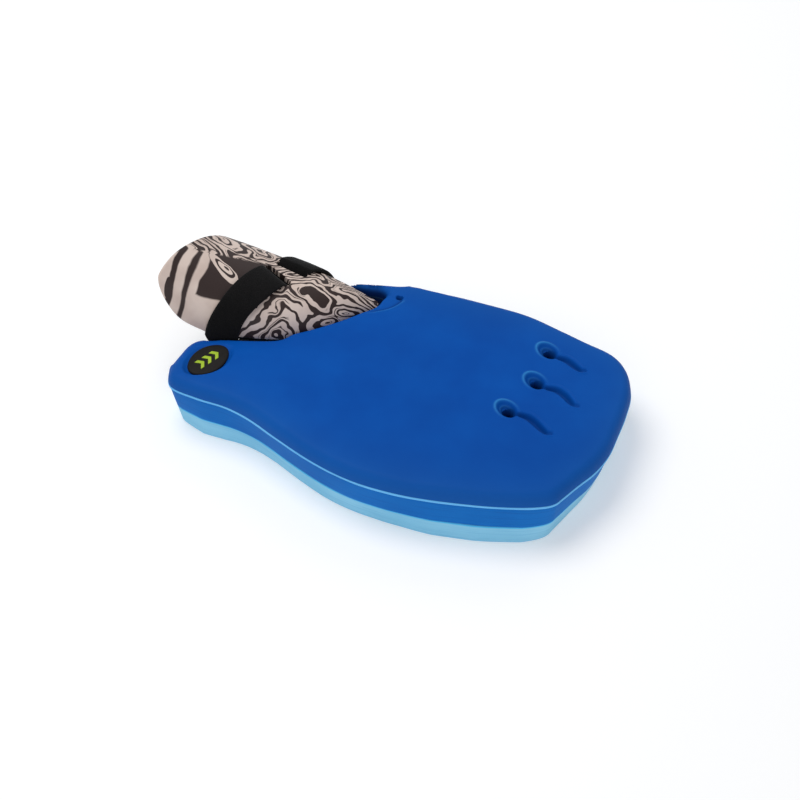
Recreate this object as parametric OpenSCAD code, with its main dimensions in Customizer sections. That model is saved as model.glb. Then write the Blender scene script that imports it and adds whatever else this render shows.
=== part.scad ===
/* [Board] */
// Height of the light base slab
base_h = 17.5; // [14:0.5:22]
// Height of the mid-blue core slab
core_h = 21; // [17:0.5:24]
// Thickness of the pale stripe sheet
stripe_h = 2.5; // [1.5:0.5:4]
// Thickness of the dark face slab
face_h = 13; // [11:1:16]
// How strongly the walls lean in towards the foot, 1 being the usual lean
foot_lean = 1; // [0.4:0.1:1.2]

/* [Hand pocket] */
// Height of the pocket's ceiling above the rest plane
ceiling_z = 33; // [30:1:34]
// Thickness of the palm lining under the ceiling
lining_h = 3; // [2:0.5:4]

/* [Finger and thumb loops] */
// Width of a loop's elastic band, along the fingers
loop_w = 18; // [14:1:22]
// Outside span of a loop across one finger
loop_span = 30; // [26:1:32]
// Outside height of a loop
loop_rise = 19; // [16:1:19]
// Thickness of the elastic band
loop_t = 1.6; // [1.2:0.2:2]
// Radius of a loop rivet's shank
shank_r = 2; // [1.5:0.5:2.5]

/* [Wrist guard] */
// Pitch of the guard above the rest plane, degrees
guard_pitch = 9; // [7:0.5:10]
// Thickness of the marbled shell
shell_t = 5; // [4:0.5:6]
// Thickness of the black liner under it
liner_t = 2; // [1.5:0.5:2.5]

/* [Straps] */
// Width of the wrist strap
wrist_strap_w = 27; // [24:1:30]
// Thickness of the wrist strap
strap_t = 2; // [1.5:0.25:2]
// Depth of the wrist strap's loop below the guard's rim
strap_drop = 30; // [26:1:32]
// Width of the strap across the back of the hand
hand_strap_w = 38; // [30:1:40]

/* [Hidden] */
$fn = 48;

core_z = base_h;
stripe_z = core_z + core_h;
face_z = stripe_z + stripe_h;
top_z = face_z + face_h;
fit = 0.3;

// Rim of the board in plan, anticlockwise from the heel lobe, past the fingertips, to the thumb side
rim_points = [
  [-164.5, -47], [-156, -62.5], [-131, -67], [-106, -68.5], [-83, -74.5], [-56, -86], [-24, -98.5],
  [6, -106.5], [34, -109], [68, -107], [113, -98.5], [142, -90], [158, -83], [165, -77.5],
  [168.5, -70.5], [176, -54], [184.5, -36], [189.5, -16], [190.5, 8], [190.5, 31.5], [188.5, 51.5],
  [179.8, 71.8], [165, 85], [140, 92.5], [118, 99], [84, 107.5], [37, 109.3], [-3, 107.8], [-15, 107.5],
  [-23, 102.5], [-44, 97.5], [-60, 94.5], [-65, 92.5]
];
// Edge of the wrist notch, back from the thumb side to the heel lobe
notch_points = [
  [-59, 90.9], [-47, 92], [-37, 93.3], [-30.5, 90], [-29, 82], [-32, 73], [-39, 62.5], [-53, 47],
  [-74, 28.5], [-85, 19.5], [-95, 8], [-126, -3.5], [-150.5, -9], [-160, -18.5], [-163, -34],
  [-164, -42]
];
// Walls of the hand pocket, closed off to the left through the open wrist side
pocket_points = [
  [-230, -22], [-158, -22], [-148, -15.5], [-126, -9], [-98, 0], [-75, -18], [-40, -34],
  [20, -38], [100, -38], [132, -28], [147, 0], [148, 50], [140, 74], [119, 87], [82, 92.5], [30, 95],
  [-10, 94.5], [-37, 93.3], [-47, 92], [-59, 90.9], [-66, 93], [-70, 130], [-230, 130]
];
curve_steps = 4;

// Catmull-Rom point between b and c
function blend(a, b, c, d, u) =
  0.5 * (2 * b + (c - a) * u + (2 * a - 5 * b + 4 * c - d) * u * u
    + (3 * b - a - 3 * c + d) * u * u * u);
function smooth_loop(p, n = curve_steps) = [
  for (i = [0 : len(p) - 1])
    for (k = [0 : n - 1])
      blend(p[(i + len(p) - 1) % len(p)], p[i], p[(i + 1) % len(p)], p[(i + 2) % len(p)], k / n)
];
function unit(v) = v / norm(v);
// A loop of points moved in by d along its own normals
function inset_loop(p, d) = [
  for (i = [0 : len(p) - 1])
    let (t = unit(p[(i + 1) % len(p)] - p[(i + len(p) - 1) % len(p)]))
      p[i] + d * [-t[1], t[0]]
];
outline_points = concat(rim_points, notch_points);
outline_last = len(outline_points) - 1;
rim_last = len(rim_points) - 1;
// The notch's walls are upright, so the inset fades over this many points at each end of it
notch_fade = [5, 3];
function rim_weight(i) =
  i <= rim_last
    ? min(1, (rim_last - i) / notch_fade[0])
    : max(0, (i - outline_last + notch_fade[1]) / notch_fade[1]);
// Lean of the wall at the foot against x, on the near side and on the thumb side
near_lean = [
  [-163, 8.5], [-146, 5], [-130, 1], [-110, 1.5], [-92, 4.4], [-77, 6.3], [-64, 7.2], [-37, 6.4], [-16, 5],
  [28, 5], [53, 3.4], [77, 1], [110, 0.5], [144, 1], [157, 3.3], [173, 7.2], [188, 11]
];
far_lean = [[-60, 2.5], [120, 2.5], [160, 4], [173, 7], [188, 11]];
function lean(p) = foot_lean * lookup(p[0], p[1] < 0 ? near_lean : far_lean);
// The board's outline with its rim moved in by d; with leaning, by that share of the wall's own lean
function board_loop(d, leaning = false) = smooth_loop([
  for (i = [0 : outline_last])
    let (
      p = outline_points[i],
      ahead = outline_points[(i + 1) % (outline_last + 1)],
      behind = outline_points[(i + outline_last) % (outline_last + 1)],
      t = unit(ahead - behind)
    ) p + d * rim_weight(i) * (leaning ? lean(p) : 1) * [-t[1], t[0]]
]);

// Finger rivets, one in each face dimple: index, middle, then ring and little fingers
finger_at = [[117, 65], [117.5, 28.5], [106, -8.5]];
thumb_at = [12, 74];
// Headings of the index, middle, outer and thumb loops about their rivets, degrees
loop_turns = [8, 0, -6, 14];
dimple_r = 7.5;
dimple_depth = 4;
pit_r = 4.2;
cap_r = 3.8;
cap_h = 3;
inner_head_r = 5;
inner_head_h = 1.2;
loop_corner = 7;
lining_z = ceiling_z - lining_h;
lining_gap = 2;
lining_start_x = -28;
band_z = lining_z - 0.2 - loop_t;
thumb_cap_z = 35.5;
thumb_cap_h = 2;

badge_at = [-136.5, -32.5, 49];
badge_turn = 60;
badge_tilt = [5, -6, 0];
badge_l = 37;
badge_w = 26;
badge_t = 1.6;
emblem_t = 0.5;

thumb_hole_at = [-18.5, 89];
thumb_hole_r = 2.5;
thumb_hole_floor = 3;

// Share of the lean at four heights up the wall, from the foot
foot_share = [0.9, 0.7, 0.45, 0.15];

// Rounded crown of the face slab, in steps: [depth below the top, height, inset]
crown_steps = [[4, 2.5, 3], [1.5, 1.5, 6]];

hinge_strip = [46, 16, 2];

hand_strap_x = 55;
hand_strap_z = 8;
hand_strap_start_y = -48;
hand_strap_end_y = 104.6;
side_recess_y = 105.3;
side_recess_z = [5, 38.5];
hand_tab_y = 106.9;
hand_tab_t = 1.6;
hand_tab_h = 26;
hand_patch_t = 0.7;
patch_t = 0.9;

// Guard: tip at the notch, axis turned past -X, cross-sections listed every guard_step along the axis
guard_tip = [-37, 78.5, 31];
guard_yaw = 196;
guard_len = 177.5;
guard_step = 30;
near_half = [4, 26, 40.5, 47.5, 50, 50, 50];
far_half = [13, 19, 32, 44, 50.5, 52, 52];
crown_rise = [14, 27.5, 31.5, 32.5, 37.5, 45, 55];
arch_power = 2.2;
guard_rings = 18;
tip_gap = -1.2;
liner_tip_gap = 3;
liner_gap = 0.2;
guard_cols = 22;

guard_axis = [cos(guard_yaw) * cos(guard_pitch), sin(guard_yaw) * cos(guard_pitch), sin(guard_pitch)];
guard_side = [sin(guard_yaw), -cos(guard_yaw), 0];
guard_up = cross(guard_side, guard_axis);

// Value of a list of stations at distance s along the guard
function station(v, s) =
  let (
    n = len(v) - 1,
    i = max(0, min(floor(s / guard_step), n - 1)),
    before = i == 0 ? 2 * v[0] - v[1] : v[i - 1],
    after = i == n - 1 ? 2 * v[n] - v[n - 1] : v[i + 2]
  ) blend(before, v[i], v[i + 1], after, s / guard_step - i);
function arch(t) = pow(max(0, 1 - pow(abs(t), arch_power)), 1 / 2);
// Past t = -1 the liner hangs straight down below the shell's rim, this far for each unit of t,
// growing from nothing at the tip over the first skirt_run
skirt_rate = 50;
liner_skirt = 0.09;
skirt_run = 50;
function skirt_drop(s, t) = skirt_rate * max(0, abs(t) - 1) * min(1, max(0, s) / skirt_run);
function half_at(s, t) = station(t < 0 ? near_half : far_half, s);
// Point on the guard: s along it, t across from -1 at the near rim to 1 at the far rim, off outwards
function guard_point(s, t, off = 0) =
  guard_tip + s * guard_axis
    + max(-1, min(1, t)) * (half_at(s, t) + off) * guard_side
    + ((station(crown_rise, s) + off) * arch(t) - skirt_drop(s, t)) * guard_up;
function round_drop(a) = 1 - sqrt(max(0, 1 - a * a));

// Length of the guard at t: its wrist end is rounded, and cut back further on the thumb side
end_turn = -0.7;
near_round = 32;
near_corner = 12;
far_slant = 45;
far_bend = 1.08;
far_round = 14;
function guard_end(t) =
  t < end_turn
    ? let (a = min(1, (end_turn - t) / (1 + end_turn)))
        guard_len - near_round * round_drop(a) - near_corner * pow(a, 40)
    : guard_len - far_slant * pow((t - end_turn) / (1 - end_turn), far_bend)
      - far_round * round_drop((t - end_turn) / (1 - end_turn));
// Columns bunch towards both rims, where the arch is steep
function col_t(k, skirt) = -cos(180 * k / guard_cols) - (k == 0 ? skirt : 0);

// Closed skin between two offsets of the guard surface, start_gap back from its tip
module guard_skin(outer, inner, start_gap, end_gap, skirt = 0) {
  across = guard_cols + 1;
  sheet = (guard_rings + 1) * across;
  points = [
    for (off = [outer, inner])
      for (r = [0 : guard_rings])
        for (k = [0 : guard_cols])
          let (t = col_t(k, skirt), s = start_gap + (guard_end(t) - end_gap - start_gap) * r / guard_rings)
            guard_point(s, t, off)
  ];
  function at(layer, r, k) = layer * sheet + r * across + k;
  skins = [
    for (r = [0 : guard_rings - 1])
      for (k = [0 : guard_cols - 1])
        for (f = [
            [at(0, r, k), at(0, r, k + 1), at(0, r + 1, k + 1)],
            [at(0, r, k), at(0, r + 1, k + 1), at(0, r + 1, k)],
            [at(1, r, k), at(1, r + 1, k + 1), at(1, r, k + 1)],
            [at(1, r, k), at(1, r + 1, k), at(1, r + 1, k + 1)]
          ]) f
  ];
  ends = [
    for (k = [0 : guard_cols - 1])
      for (f = [
          [at(0, 0, k), at(1, 0, k), at(1, 0, k + 1)],
          [at(0, 0, k), at(1, 0, k + 1), at(0, 0, k + 1)],
          [at(0, guard_rings, k), at(1, guard_rings, k + 1), at(1, guard_rings, k)],
          [at(0, guard_rings, k), at(0, guard_rings, k + 1), at(1, guard_rings, k + 1)]
        ]) f
  ];
  rims = [
    for (r = [0 : guard_rings - 1])
      for (f = [
          [at(0, r, 0), at(1, r + 1, 0), at(1, r, 0)],
          [at(0, r, 0), at(0, r + 1, 0), at(1, r + 1, 0)],
          [at(0, r, guard_cols), at(1, r, guard_cols), at(1, r + 1, guard_cols)],
          [at(0, r, guard_cols), at(1, r + 1, guard_cols), at(0, r + 1, guard_cols)]
        ]) f
  ];
  polyhedron(points, concat(skins, ends, rims), convexity = 6);
}

// Two slits in the crown take the wrist strap; each is given by its ends as [s, t]
slits = [
  [[94.5, 0.105], [73.5, -0.245]],
  [[87, 0.33], [61, 0.09]]
];
slit_gap = 8;
slit_spare = 4;
slit_depth = 24;
module slit_cutters() {
  for (slit = slits) {
    a = guard_point(slit[0][0], slit[0][1]);
    b = guard_point(slit[1][0], slit[1][1]);
    run = b - a;
    translate((a + b) / 2)
      rotate([0, -asin(run[2] / norm(run)), atan2(run[1], run[0])])
        cube([norm(run) + slit_spare, slit_gap, slit_depth], center = true);
  }
}

// Strap over the guard: offset of its middle layer from the shell's outside, against t
strap_off = 1.5;
under_bridge = -shell_t - liner_t - 2.4;
strap_profile = [
  [-0.125, strap_off], [-0.07, -4.4], [-0.015, under_bridge],
  [0.175, under_bridge], [0.225, -4.4], [0.28, strap_off]
];
strap_over_steps = 100;
strap_under_steps = 28;
// Slant of the strap's cross-section, in t for each mm along the guard, and how much that shortens it
strap_tilts = [[-1, 0.0066], [-0.8, 0.011], [-0.5, 0.013], [-0.07, 0.017], [0.2, 0.0096], [1, 0.0066]];
strap_narrows = [[-1, 1], [-0.8, 0.9], [-0.5, 0.87], [-0.07, 0.76], [0.2, 1]];
// Middle of the strap along the guard for each t: it swings to the wrist end on the near side,
// crosses between the slits, and swings to the tip on the far side
strap_slit_t = [-0.07, 0.2];
strap_slit_s = [84, 74];
strap_swing = [37, 27];
function strap_s(t) =
  t < strap_slit_t[0]
    ? strap_slit_s[0] + strap_swing[0] * pow((strap_slit_t[0] - t) / (1 + strap_slit_t[0]), 0.9)
    : t < strap_slit_t[1]
    ? strap_slit_s[0] + (strap_slit_s[1] - strap_slit_s[0])
        * (t - strap_slit_t[0]) / (strap_slit_t[1] - strap_slit_t[0])
    : strap_slit_s[1] - strap_swing[1] * (t - strap_slit_t[1]) / (1 - strap_slit_t[1]);
function strap_edge(t, off, e) =
  let (
    d = e * lookup(t, strap_narrows),
    u = max(-1, min(1, t + d * lookup(t, strap_tilts) * (1 - t * t)))
  ) guard_point(strap_s(t) + d, u, off);
// Edge of the loop under the wrist: turn runs from 0 at the near rim to 180 at the far rim
function under_edge(turn, off, e) =
  let (
    s = strap_s(-1) + (strap_s(1) - strap_s(-1)) * turn / 180 + e,
    half = (turn < 90 ? half_at(s, -1) : half_at(s, 1)) + off,
    drop = strap_drop + off
  ) guard_tip + s * guard_axis
      - half * cos(turn) * guard_side
      - drop * pow(sin(turn), 0.8) * guard_up;
// Sweep through six-cornered sections: three points across the outer face, three back across the inner
module band_sweep(sections, closed) {
  n = len(sections);
  last = closed ? n : n - 1;
  sides = [
    for (i = [0 : last - 1])
      for (k = [0 : 5])
        let (j = (i + 1) % n, m = (k + 1) % 6)
          for (f = [[6 * i + k, 6 * i + m, 6 * j + m], [6 * i + k, 6 * j + m, 6 * j + k]]) f
  ];
  end = 6 * n - 6;
  fan = [[0, 1, 4], [0, 4, 5], [1, 2, 3], [1, 3, 4]];
  caps = closed ? [] : concat(
    [for (f = fan) [f[2], f[1], f[0]]],
    [for (f = fan) [end + f[0], end + f[1], end + f[2]]]
  );
  polyhedron([for (q = sections) each q], concat(sides, caps), convexity = 8);
}
function over_section(t, off, w, h) = concat(
  [for (e = [1, 0, -1]) strap_edge(t, off + h / 2, e * w / 2)],
  [for (e = [-1, 0, 1]) strap_edge(t, off - h / 2, e * w / 2)]
);
function under_section(turn, off, w, h) = concat(
  [for (e = [1, 0, -1]) under_edge(turn, off + h / 2, e * w / 2)],
  [for (e = [-1, 0, 1]) under_edge(turn, off - h / 2, e * w / 2)]
);
tab_turns = [125, 172];
tab_steps = 8;
function tab_strip(off, w, h, from = tab_turns[0], to = tab_turns[1]) = [
  for (i = [0 : tab_steps]) under_section(from + (to - from) * i / tab_steps, off, w, h)
];
seam_gap = 0.1;
patch_off = strap_off + strap_t / 2 + seam_gap + patch_t / 2;
hook_off = patch_off + patch_t + fit;
tab_off = hook_off + patch_t / 2 + seam_gap + strap_t / 2;

// Square with round corners, centred
module round_rect(w, h, r) {
  square([w - 2 * r, h], center = true);
  square([w, h - 2 * r], center = true);
  for (x = [-1, 1], y = [-1, 1]) translate([x * (w / 2 - r), y * (h / 2 - r)]) circle(r);
}
module slab(z, h, inset, leaning = false) {
  translate([0, 0, z]) linear_extrude(h) polygon(board_loop(inset, leaning));
}
module pocket(z, h) {
  translate([0, 0, z]) linear_extrude(h) polygon(smooth_loop(pocket_points));
}
module side_recess() {
  translate([hand_strap_x - hand_strap_w / 2 - 2, side_recess_y, side_recess_z[0]])
    cube([hand_strap_w + 4, 20, side_recess_z[1] - side_recess_z[0]]);
}
module strap_slot() {
  translate([hand_strap_x - hand_strap_w / 2 - fit, hand_strap_start_y - fit, hand_strap_z - fit])
    cube([hand_strap_w + 2 * fit, 180, strap_t + 2 * fit]);
}
module loop_holes(z, h, r) {
  for (p = finger_at) translate([p[0], p[1], z]) cylinder(h = h, r = r);
}

module base_foam() {
  color("#8fc4da")
    difference() {
      union() {
        slab(0, base_h / 2, foot_share[0], true);
        slab(base_h / 2, base_h / 2, foot_share[1], true);
      }
      pocket(-1, base_h + 2);
      strap_slot();
      side_recess();
    }
}
module core_foam() {
  color("#1d6fc0")
    difference() {
      union() {
        slab(core_z, core_h / 2, foot_share[2], true);
        slab(core_z + core_h / 2, core_h / 2, foot_share[3], true);
      }
      pocket(core_z - 1, ceiling_z - core_z + 1);
      side_recess();
      loop_holes(core_z, core_h + 1, shank_r + fit);
      translate([thumb_at[0], thumb_at[1], core_z])
        cylinder(h = thumb_cap_z - core_z + 1, r = shank_r + fit);
      translate([thumb_at[0], thumb_at[1], thumb_cap_z - fit])
        cylinder(h = thumb_cap_h + 2 * fit, r = inner_head_r + fit);
    }
}
module stripe_foam() {
  color("#6fb0e8")
    difference() {
      slab(stripe_z, stripe_h, 0);
      loop_holes(stripe_z - 1, stripe_h + 2, shank_r + fit);
    }
}
module badge_cut(grow) {
  translate(badge_at) rotate([badge_tilt[0], badge_tilt[1], badge_turn])
    linear_extrude(12) polygon([for (a = [0 : 10 : 350]) badge_rim(a, grow)]);
}
function badge_rim(a, grow) = [
  (badge_l / 2 + grow) * cos(a) * (1 - 0.1 * pow(sin(a), 2)),
  (badge_w / 2 + grow) * sin(a)
];
module face_foam() {
  color("#0f4fa8")
    difference() {
      union() {
        slab(face_z, face_h - crown_steps[0][0], 0);
        for (step = crown_steps) slab(top_z - step[0], step[1], step[2]);
      }
      loop_holes(face_z - 1, face_h + 2, pit_r);
      loop_holes(top_z - dimple_depth, dimple_depth + 1, dimple_r);
      translate([thumb_hole_at[0], thumb_hole_at[1], face_z + thumb_hole_floor])
        cylinder(h = face_h, r = thumb_hole_r);
      badge_cut(fit);
    }
}
module palm_lining() {
  color("#202226")
    difference() {
      intersection() {
        translate([0, 0, lining_z]) linear_extrude(lining_h)
          polygon(inset_loop(smooth_loop(pocket_points), lining_gap));
        translate([lining_start_x, -100, 0]) cube([300, 300, ceiling_z]);
      }
      loop_holes(0, ceiling_z + 1, shank_r + fit);
      translate([thumb_at[0], thumb_at[1], 0]) cylinder(h = ceiling_z + 1, r = shank_r + fit);
    }
}
module badge_plate() {
  color("#2a2622")
    translate(badge_at) rotate([badge_tilt[0], badge_tilt[1], badge_turn])
      linear_extrude(badge_t) polygon([for (a = [0 : 10 : 350]) badge_rim(a, 0)]);
}
module badge_emblem() {
  color("#b9d432")
    translate(badge_at) rotate([badge_tilt[0], badge_tilt[1], badge_turn])
      translate([0, 0, badge_t])
        for (x = [-7, 0, 7]) translate([x, 0, 0]) linear_extrude(emblem_t)
          polygon([[-3, -4.5], [0, -4.5], [3.5, 0], [0, 4.5], [-3, 4.5], [0.5, 0]]);
}
module guard_hinge_strip() {
  color("#141416")
    translate([guard_tip[0], guard_tip[1] + 1, lining_z - hinge_strip[2] - 0.2])
      rotate([0, 0, guard_yaw])
        translate([-24, -hinge_strip[1] / 2, 0]) cube(hinge_strip);
}
module loop_rivet(at, cap_z, head_r) {
  translate([at[0], at[1], band_z - 0.1 - inner_head_h]) {
    cylinder(h = inner_head_h, r = inner_head_r);
    cylinder(h = cap_z - band_z + 0.1 + inner_head_h + 1, r = shank_r);
  }
  translate([at[0], at[1], cap_z]) cylinder(h = cap_h - 1, r = head_r);
}
module finger_loop_rivets() {
  color("#17171a") for (p = finger_at) loop_rivet(p, face_z, cap_r);
}
module thumb_loop_rivet() {
  color("#17171a") loop_rivet(thumb_at, thumb_cap_z, inner_head_r);
}
// Elastic band bent into a D, hanging from a rivet; turn is its heading about the rivet
module elastic_loop(at, turn) {
  color("#2b2d33")
    translate([at[0], at[1], band_z + loop_t]) rotate([0, 0, turn])
      difference() {
        translate([-loop_w / 2, 0, -loop_rise / 2]) rotate([90, 0, 90]) linear_extrude(loop_w)
          difference() {
            round_rect(loop_span, loop_rise, loop_corner);
            round_rect(loop_span - 2 * loop_t, loop_rise - 2 * loop_t, loop_corner - loop_t);
          }
        translate([0, 0, -loop_t - 1]) cylinder(h = loop_t + 2, r = shank_r + 0.06);
      }
}
module index_finger_loop() { elastic_loop(finger_at[0], loop_turns[0]); }
module middle_finger_loop() { elastic_loop(finger_at[1], loop_turns[1]); }
module outer_finger_loop() { elastic_loop(finger_at[2], loop_turns[2]); }
module thumb_loop() { elastic_loop(thumb_at, loop_turns[3]); }

module hand_strap() {
  color("#17181b")
    translate([hand_strap_x - hand_strap_w / 2, hand_strap_start_y, hand_strap_z])
      cube([hand_strap_w, hand_strap_end_y - hand_strap_start_y, strap_t]);
}
// Plate on the thumb-side wall at y: t thick, w wide, from z, h high
module wall_plate(y, t, z, h, w) {
  translate([hand_strap_x - w / 2, y, z]) cube([w, t, h]);
}
module hand_strap_loop_patch() {
  color("#26282c") wall_plate(side_recess_y, hand_patch_t, 14, 19, hand_strap_w - 2);
}
module hand_strap_hook_patch() {
  color("#33363b") wall_plate(hand_tab_y - hand_patch_t, hand_patch_t, 15, 17, hand_strap_w - 4);
}
module hand_strap_tab() {
  color("#17181b") wall_plate(hand_tab_y, hand_tab_t, hand_strap_z, hand_tab_h, hand_strap_w);
}

module wrist_guard_shell() {
  color("#b9aca2")
    difference() {
      guard_skin(0, -shell_t, tip_gap, 0);
      slit_cutters();
    }
}
module wrist_guard_liner() {
  color("#1b1a1c")
    difference() {
      guard_skin(-shell_t - liner_gap, -shell_t - liner_t, liner_tip_gap, 1, liner_skirt);
      slit_cutters();
    }
}
module wrist_strap() {
  color("#0f0f11")
    band_sweep(concat(
      [for (i = [0 : strap_over_steps])
        let (t = -cos(180 * i / strap_over_steps))
          over_section(t, lookup(t, strap_profile), wrist_strap_w, strap_t)],
      [for (i = [strap_under_steps - 1 : -1 : 1])
        under_section(180 * i / strap_under_steps, strap_off, wrist_strap_w, strap_t)]
    ), true);
}
module wrist_strap_loop_patch() {
  color("#26282c")
    band_sweep(
      tab_strip(patch_off, wrist_strap_w - 2, patch_t, tab_turns[0] + 6, tab_turns[1] - 2), false
    );
}
module wrist_strap_tab() {
  color("#0f0f11") band_sweep(tab_strip(tab_off, wrist_strap_w, strap_t), false);
}
module wrist_strap_hook_patch() {
  color("#33363b")
    band_sweep(
      tab_strip(hook_off, wrist_strap_w - 4, patch_t, tab_turns[0] + 8, tab_turns[1] - 3), false
    );
}

base_foam();
core_foam();
stripe_foam();
face_foam();
palm_lining();
badge_plate();
badge_emblem();
guard_hinge_strip();
finger_loop_rivets();
thumb_loop_rivet();
index_finger_loop();
middle_finger_loop();
outer_finger_loop();
thumb_loop();
hand_strap();
hand_strap_loop_patch();
hand_strap_tab();
hand_strap_hook_patch();
wrist_guard_shell();
wrist_guard_liner();
wrist_strap();
wrist_strap_loop_patch();
wrist_strap_tab();
wrist_strap_hook_patch();
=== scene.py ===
"""Looks of the left hand protector: foam board, marbled wrist guard, straps and loops."""
import math
import bmesh
import bpy
import numpy as np
from mathutils import Matrix, Vector
from mathutils.geometry import delaunay_2d_cdt


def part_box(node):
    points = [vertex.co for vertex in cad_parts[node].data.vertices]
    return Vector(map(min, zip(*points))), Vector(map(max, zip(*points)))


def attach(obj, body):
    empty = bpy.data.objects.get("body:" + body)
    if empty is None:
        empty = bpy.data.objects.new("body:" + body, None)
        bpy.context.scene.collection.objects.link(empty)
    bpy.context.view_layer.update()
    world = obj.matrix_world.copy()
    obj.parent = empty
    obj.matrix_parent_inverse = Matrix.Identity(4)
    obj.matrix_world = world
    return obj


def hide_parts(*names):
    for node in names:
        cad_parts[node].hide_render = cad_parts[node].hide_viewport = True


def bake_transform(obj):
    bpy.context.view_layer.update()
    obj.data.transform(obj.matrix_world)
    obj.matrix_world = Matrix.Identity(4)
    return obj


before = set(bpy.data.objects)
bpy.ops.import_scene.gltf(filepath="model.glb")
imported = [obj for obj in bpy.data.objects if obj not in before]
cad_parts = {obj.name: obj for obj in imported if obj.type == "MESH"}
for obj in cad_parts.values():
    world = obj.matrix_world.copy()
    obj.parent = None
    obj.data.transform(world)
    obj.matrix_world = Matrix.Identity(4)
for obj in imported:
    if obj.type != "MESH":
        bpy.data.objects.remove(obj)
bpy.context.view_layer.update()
MM = 0.001
DETAIL = 1.0


# ---- shader helpers
class Shader:
    """A material under construction: wraps its node tree in short calls."""

    def __init__(self, name):
        self.material = bpy.data.materials.new(name)
        self.material.use_nodes = True
        self.tree = self.material.node_tree
        self.tree.nodes.clear()
        self.output = self.node("ShaderNodeOutputMaterial")
        self.bsdf = self.node("ShaderNodeBsdfPrincipled")
        self.link(self.bsdf.outputs["BSDF"], self.output.inputs["Surface"])
        self.coords = self.node("ShaderNodeTexCoord").outputs["Object"]

    def node(self, kind, **values):
        made = self.tree.nodes.new(kind)
        for key, value in values.items():
            setattr(made, key, value)
        return made

    def link(self, source, target):
        self.tree.links.new(source, target)

    def feed(self, target, value):
        """Links a socket, or sets a plain value."""
        if isinstance(value, bpy.types.NodeSocket):
            self.link(value, target)
        else:
            target.default_value = value

    def attribute(self, name):
        return self.node("ShaderNodeAttribute", attribute_name=name).outputs["Vector"]

    def texture(self, kind, coords, socket, settings, **values):
        """Output of a texture node; settings go to its inputs, values to the node itself."""
        made = self.node("ShaderNodeTex" + kind, **values)
        self.link(coords or self.coords, made.inputs["Vector"])
        for key, value in settings.items():
            made.inputs[key].default_value = value
        return made.outputs[socket]

    def noise(self, scale, detail=2.0, rough=0.5, coords=None, distortion=0.0, socket="Fac"):
        settings = {"Scale": scale, "Detail": detail, "Roughness": rough, "Distortion": distortion}
        return self.texture("Noise", coords, socket, settings)

    def voronoi(self, scale, feature="F1", random=1.0):
        return self.texture("Voronoi", None, "Distance", {"Scale": scale, "Randomness": random}, feature=feature)

    def wave(self, scale, direction, distortion, coords):
        settings = {"Scale": scale, "Distortion": distortion, "Detail": 1.0}
        return self.texture("Wave", coords, "Fac", settings, bands_direction=direction)

    def math(self, operation, a, b=0.0, c=0.0):
        made = self.node("ShaderNodeMath", operation=operation)
        for socket, value in zip(made.inputs, (a, b, c)):
            self.feed(socket, value)
        return made.outputs[0]

    def vector(self, operation, a, b):
        """b is a vector, or an amount when the operation is SCALE."""
        made = self.node("ShaderNodeVectorMath", operation=operation)
        self.feed(made.inputs[0], a)
        self.feed(made.inputs["Scale" if operation == "SCALE" else 1], b)
        return made.outputs[0]

    def length(self, vector):
        made = self.node("ShaderNodeVectorMath", operation="LENGTH")
        self.link(vector, made.inputs[0])
        return made.outputs["Value"]

    def combine(self, x, y):
        made = self.node("ShaderNodeCombineXYZ")
        for socket, value in zip(made.inputs, (x, y)):
            self.feed(socket, value)
        return made.outputs[0]

    def split(self, vector):
        made = self.node("ShaderNodeSeparateXYZ")
        self.link(vector, made.inputs[0])
        return made.outputs

    def ramp(self, factor, stops):
        """Greys against the factor; stops are (place, brightness)."""
        made = self.node("ShaderNodeValToRGB")
        elements = made.color_ramp.elements
        while len(elements) < len(stops):
            elements.new(1.0)
        for element, (place, grey) in zip(elements, stops):
            element.position = place
            element.color = (grey, grey, grey, 1.0)
        self.link(factor, made.inputs["Fac"])
        return made.outputs["Color"]

    def mix(self, factor, a, b):
        """Blend from a to b; each is a socket or a plain colour."""
        made = self.node("ShaderNodeMix", data_type="RGBA")
        self.feed(made.inputs["Factor"], factor)
        for socket, value in zip([s for s in made.inputs if s.type == "RGBA"], (a, b)):
            self.feed(socket, value + (1.0,) if isinstance(value, tuple) else value)
        return [s for s in made.outputs if s.type == "RGBA"][0]

    def map_range(self, value, low, high, to_low=0.0, to_high=1.0, smooth=False):
        made = self.node("ShaderNodeMapRange", clamp=True)
        if smooth:
            made.interpolation_type = "SMOOTHSTEP"
        for socket, v in zip(made.inputs, (value, low, high, to_low, to_high)):
            self.feed(socket, v)
        return made.outputs[0]

    def relief(self, *layers):
        """Normal with bumps laid over one another; each layer is (height, strength, distance in metres)."""
        normal = None
        for height, strength, distance in layers:
            made = self.node("ShaderNodeBump")
            made.inputs["Strength"].default_value = strength
            made.inputs["Distance"].default_value = distance
            self.link(height, made.inputs["Height"])
            if normal is not None:
                self.link(normal, made.inputs["Normal"])
            normal = made.outputs["Normal"]
        return normal

    def finish(self, colour, roughness, normal=None, **fixed):
        """Colour and roughness may be sockets; everything in fixed is set on the shader itself."""
        self.feed(self.bsdf.inputs["Base Color"], colour)
        self.feed(self.bsdf.inputs["Roughness"], roughness)
        if normal is not None:
            self.link(normal, self.bsdf.inputs["Normal"])
        for key, value in fixed.items():
            self.bsdf.inputs[key.replace("_", " ")].default_value = value
        return self.material


# ---- materials
# Painted colours on the blue foam: painted shadow in deep recesses, painted highlight on lips and edges, and painted
# sheen near the rim
SHADOW_BLUE = (0.0004, 0.010, 0.075)
HIGHLIGHT_BLUE = (0.035, 0.24, 0.58)
RIM_SHEEN_BLUE = (0.012, 0.108, 0.395)


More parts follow.
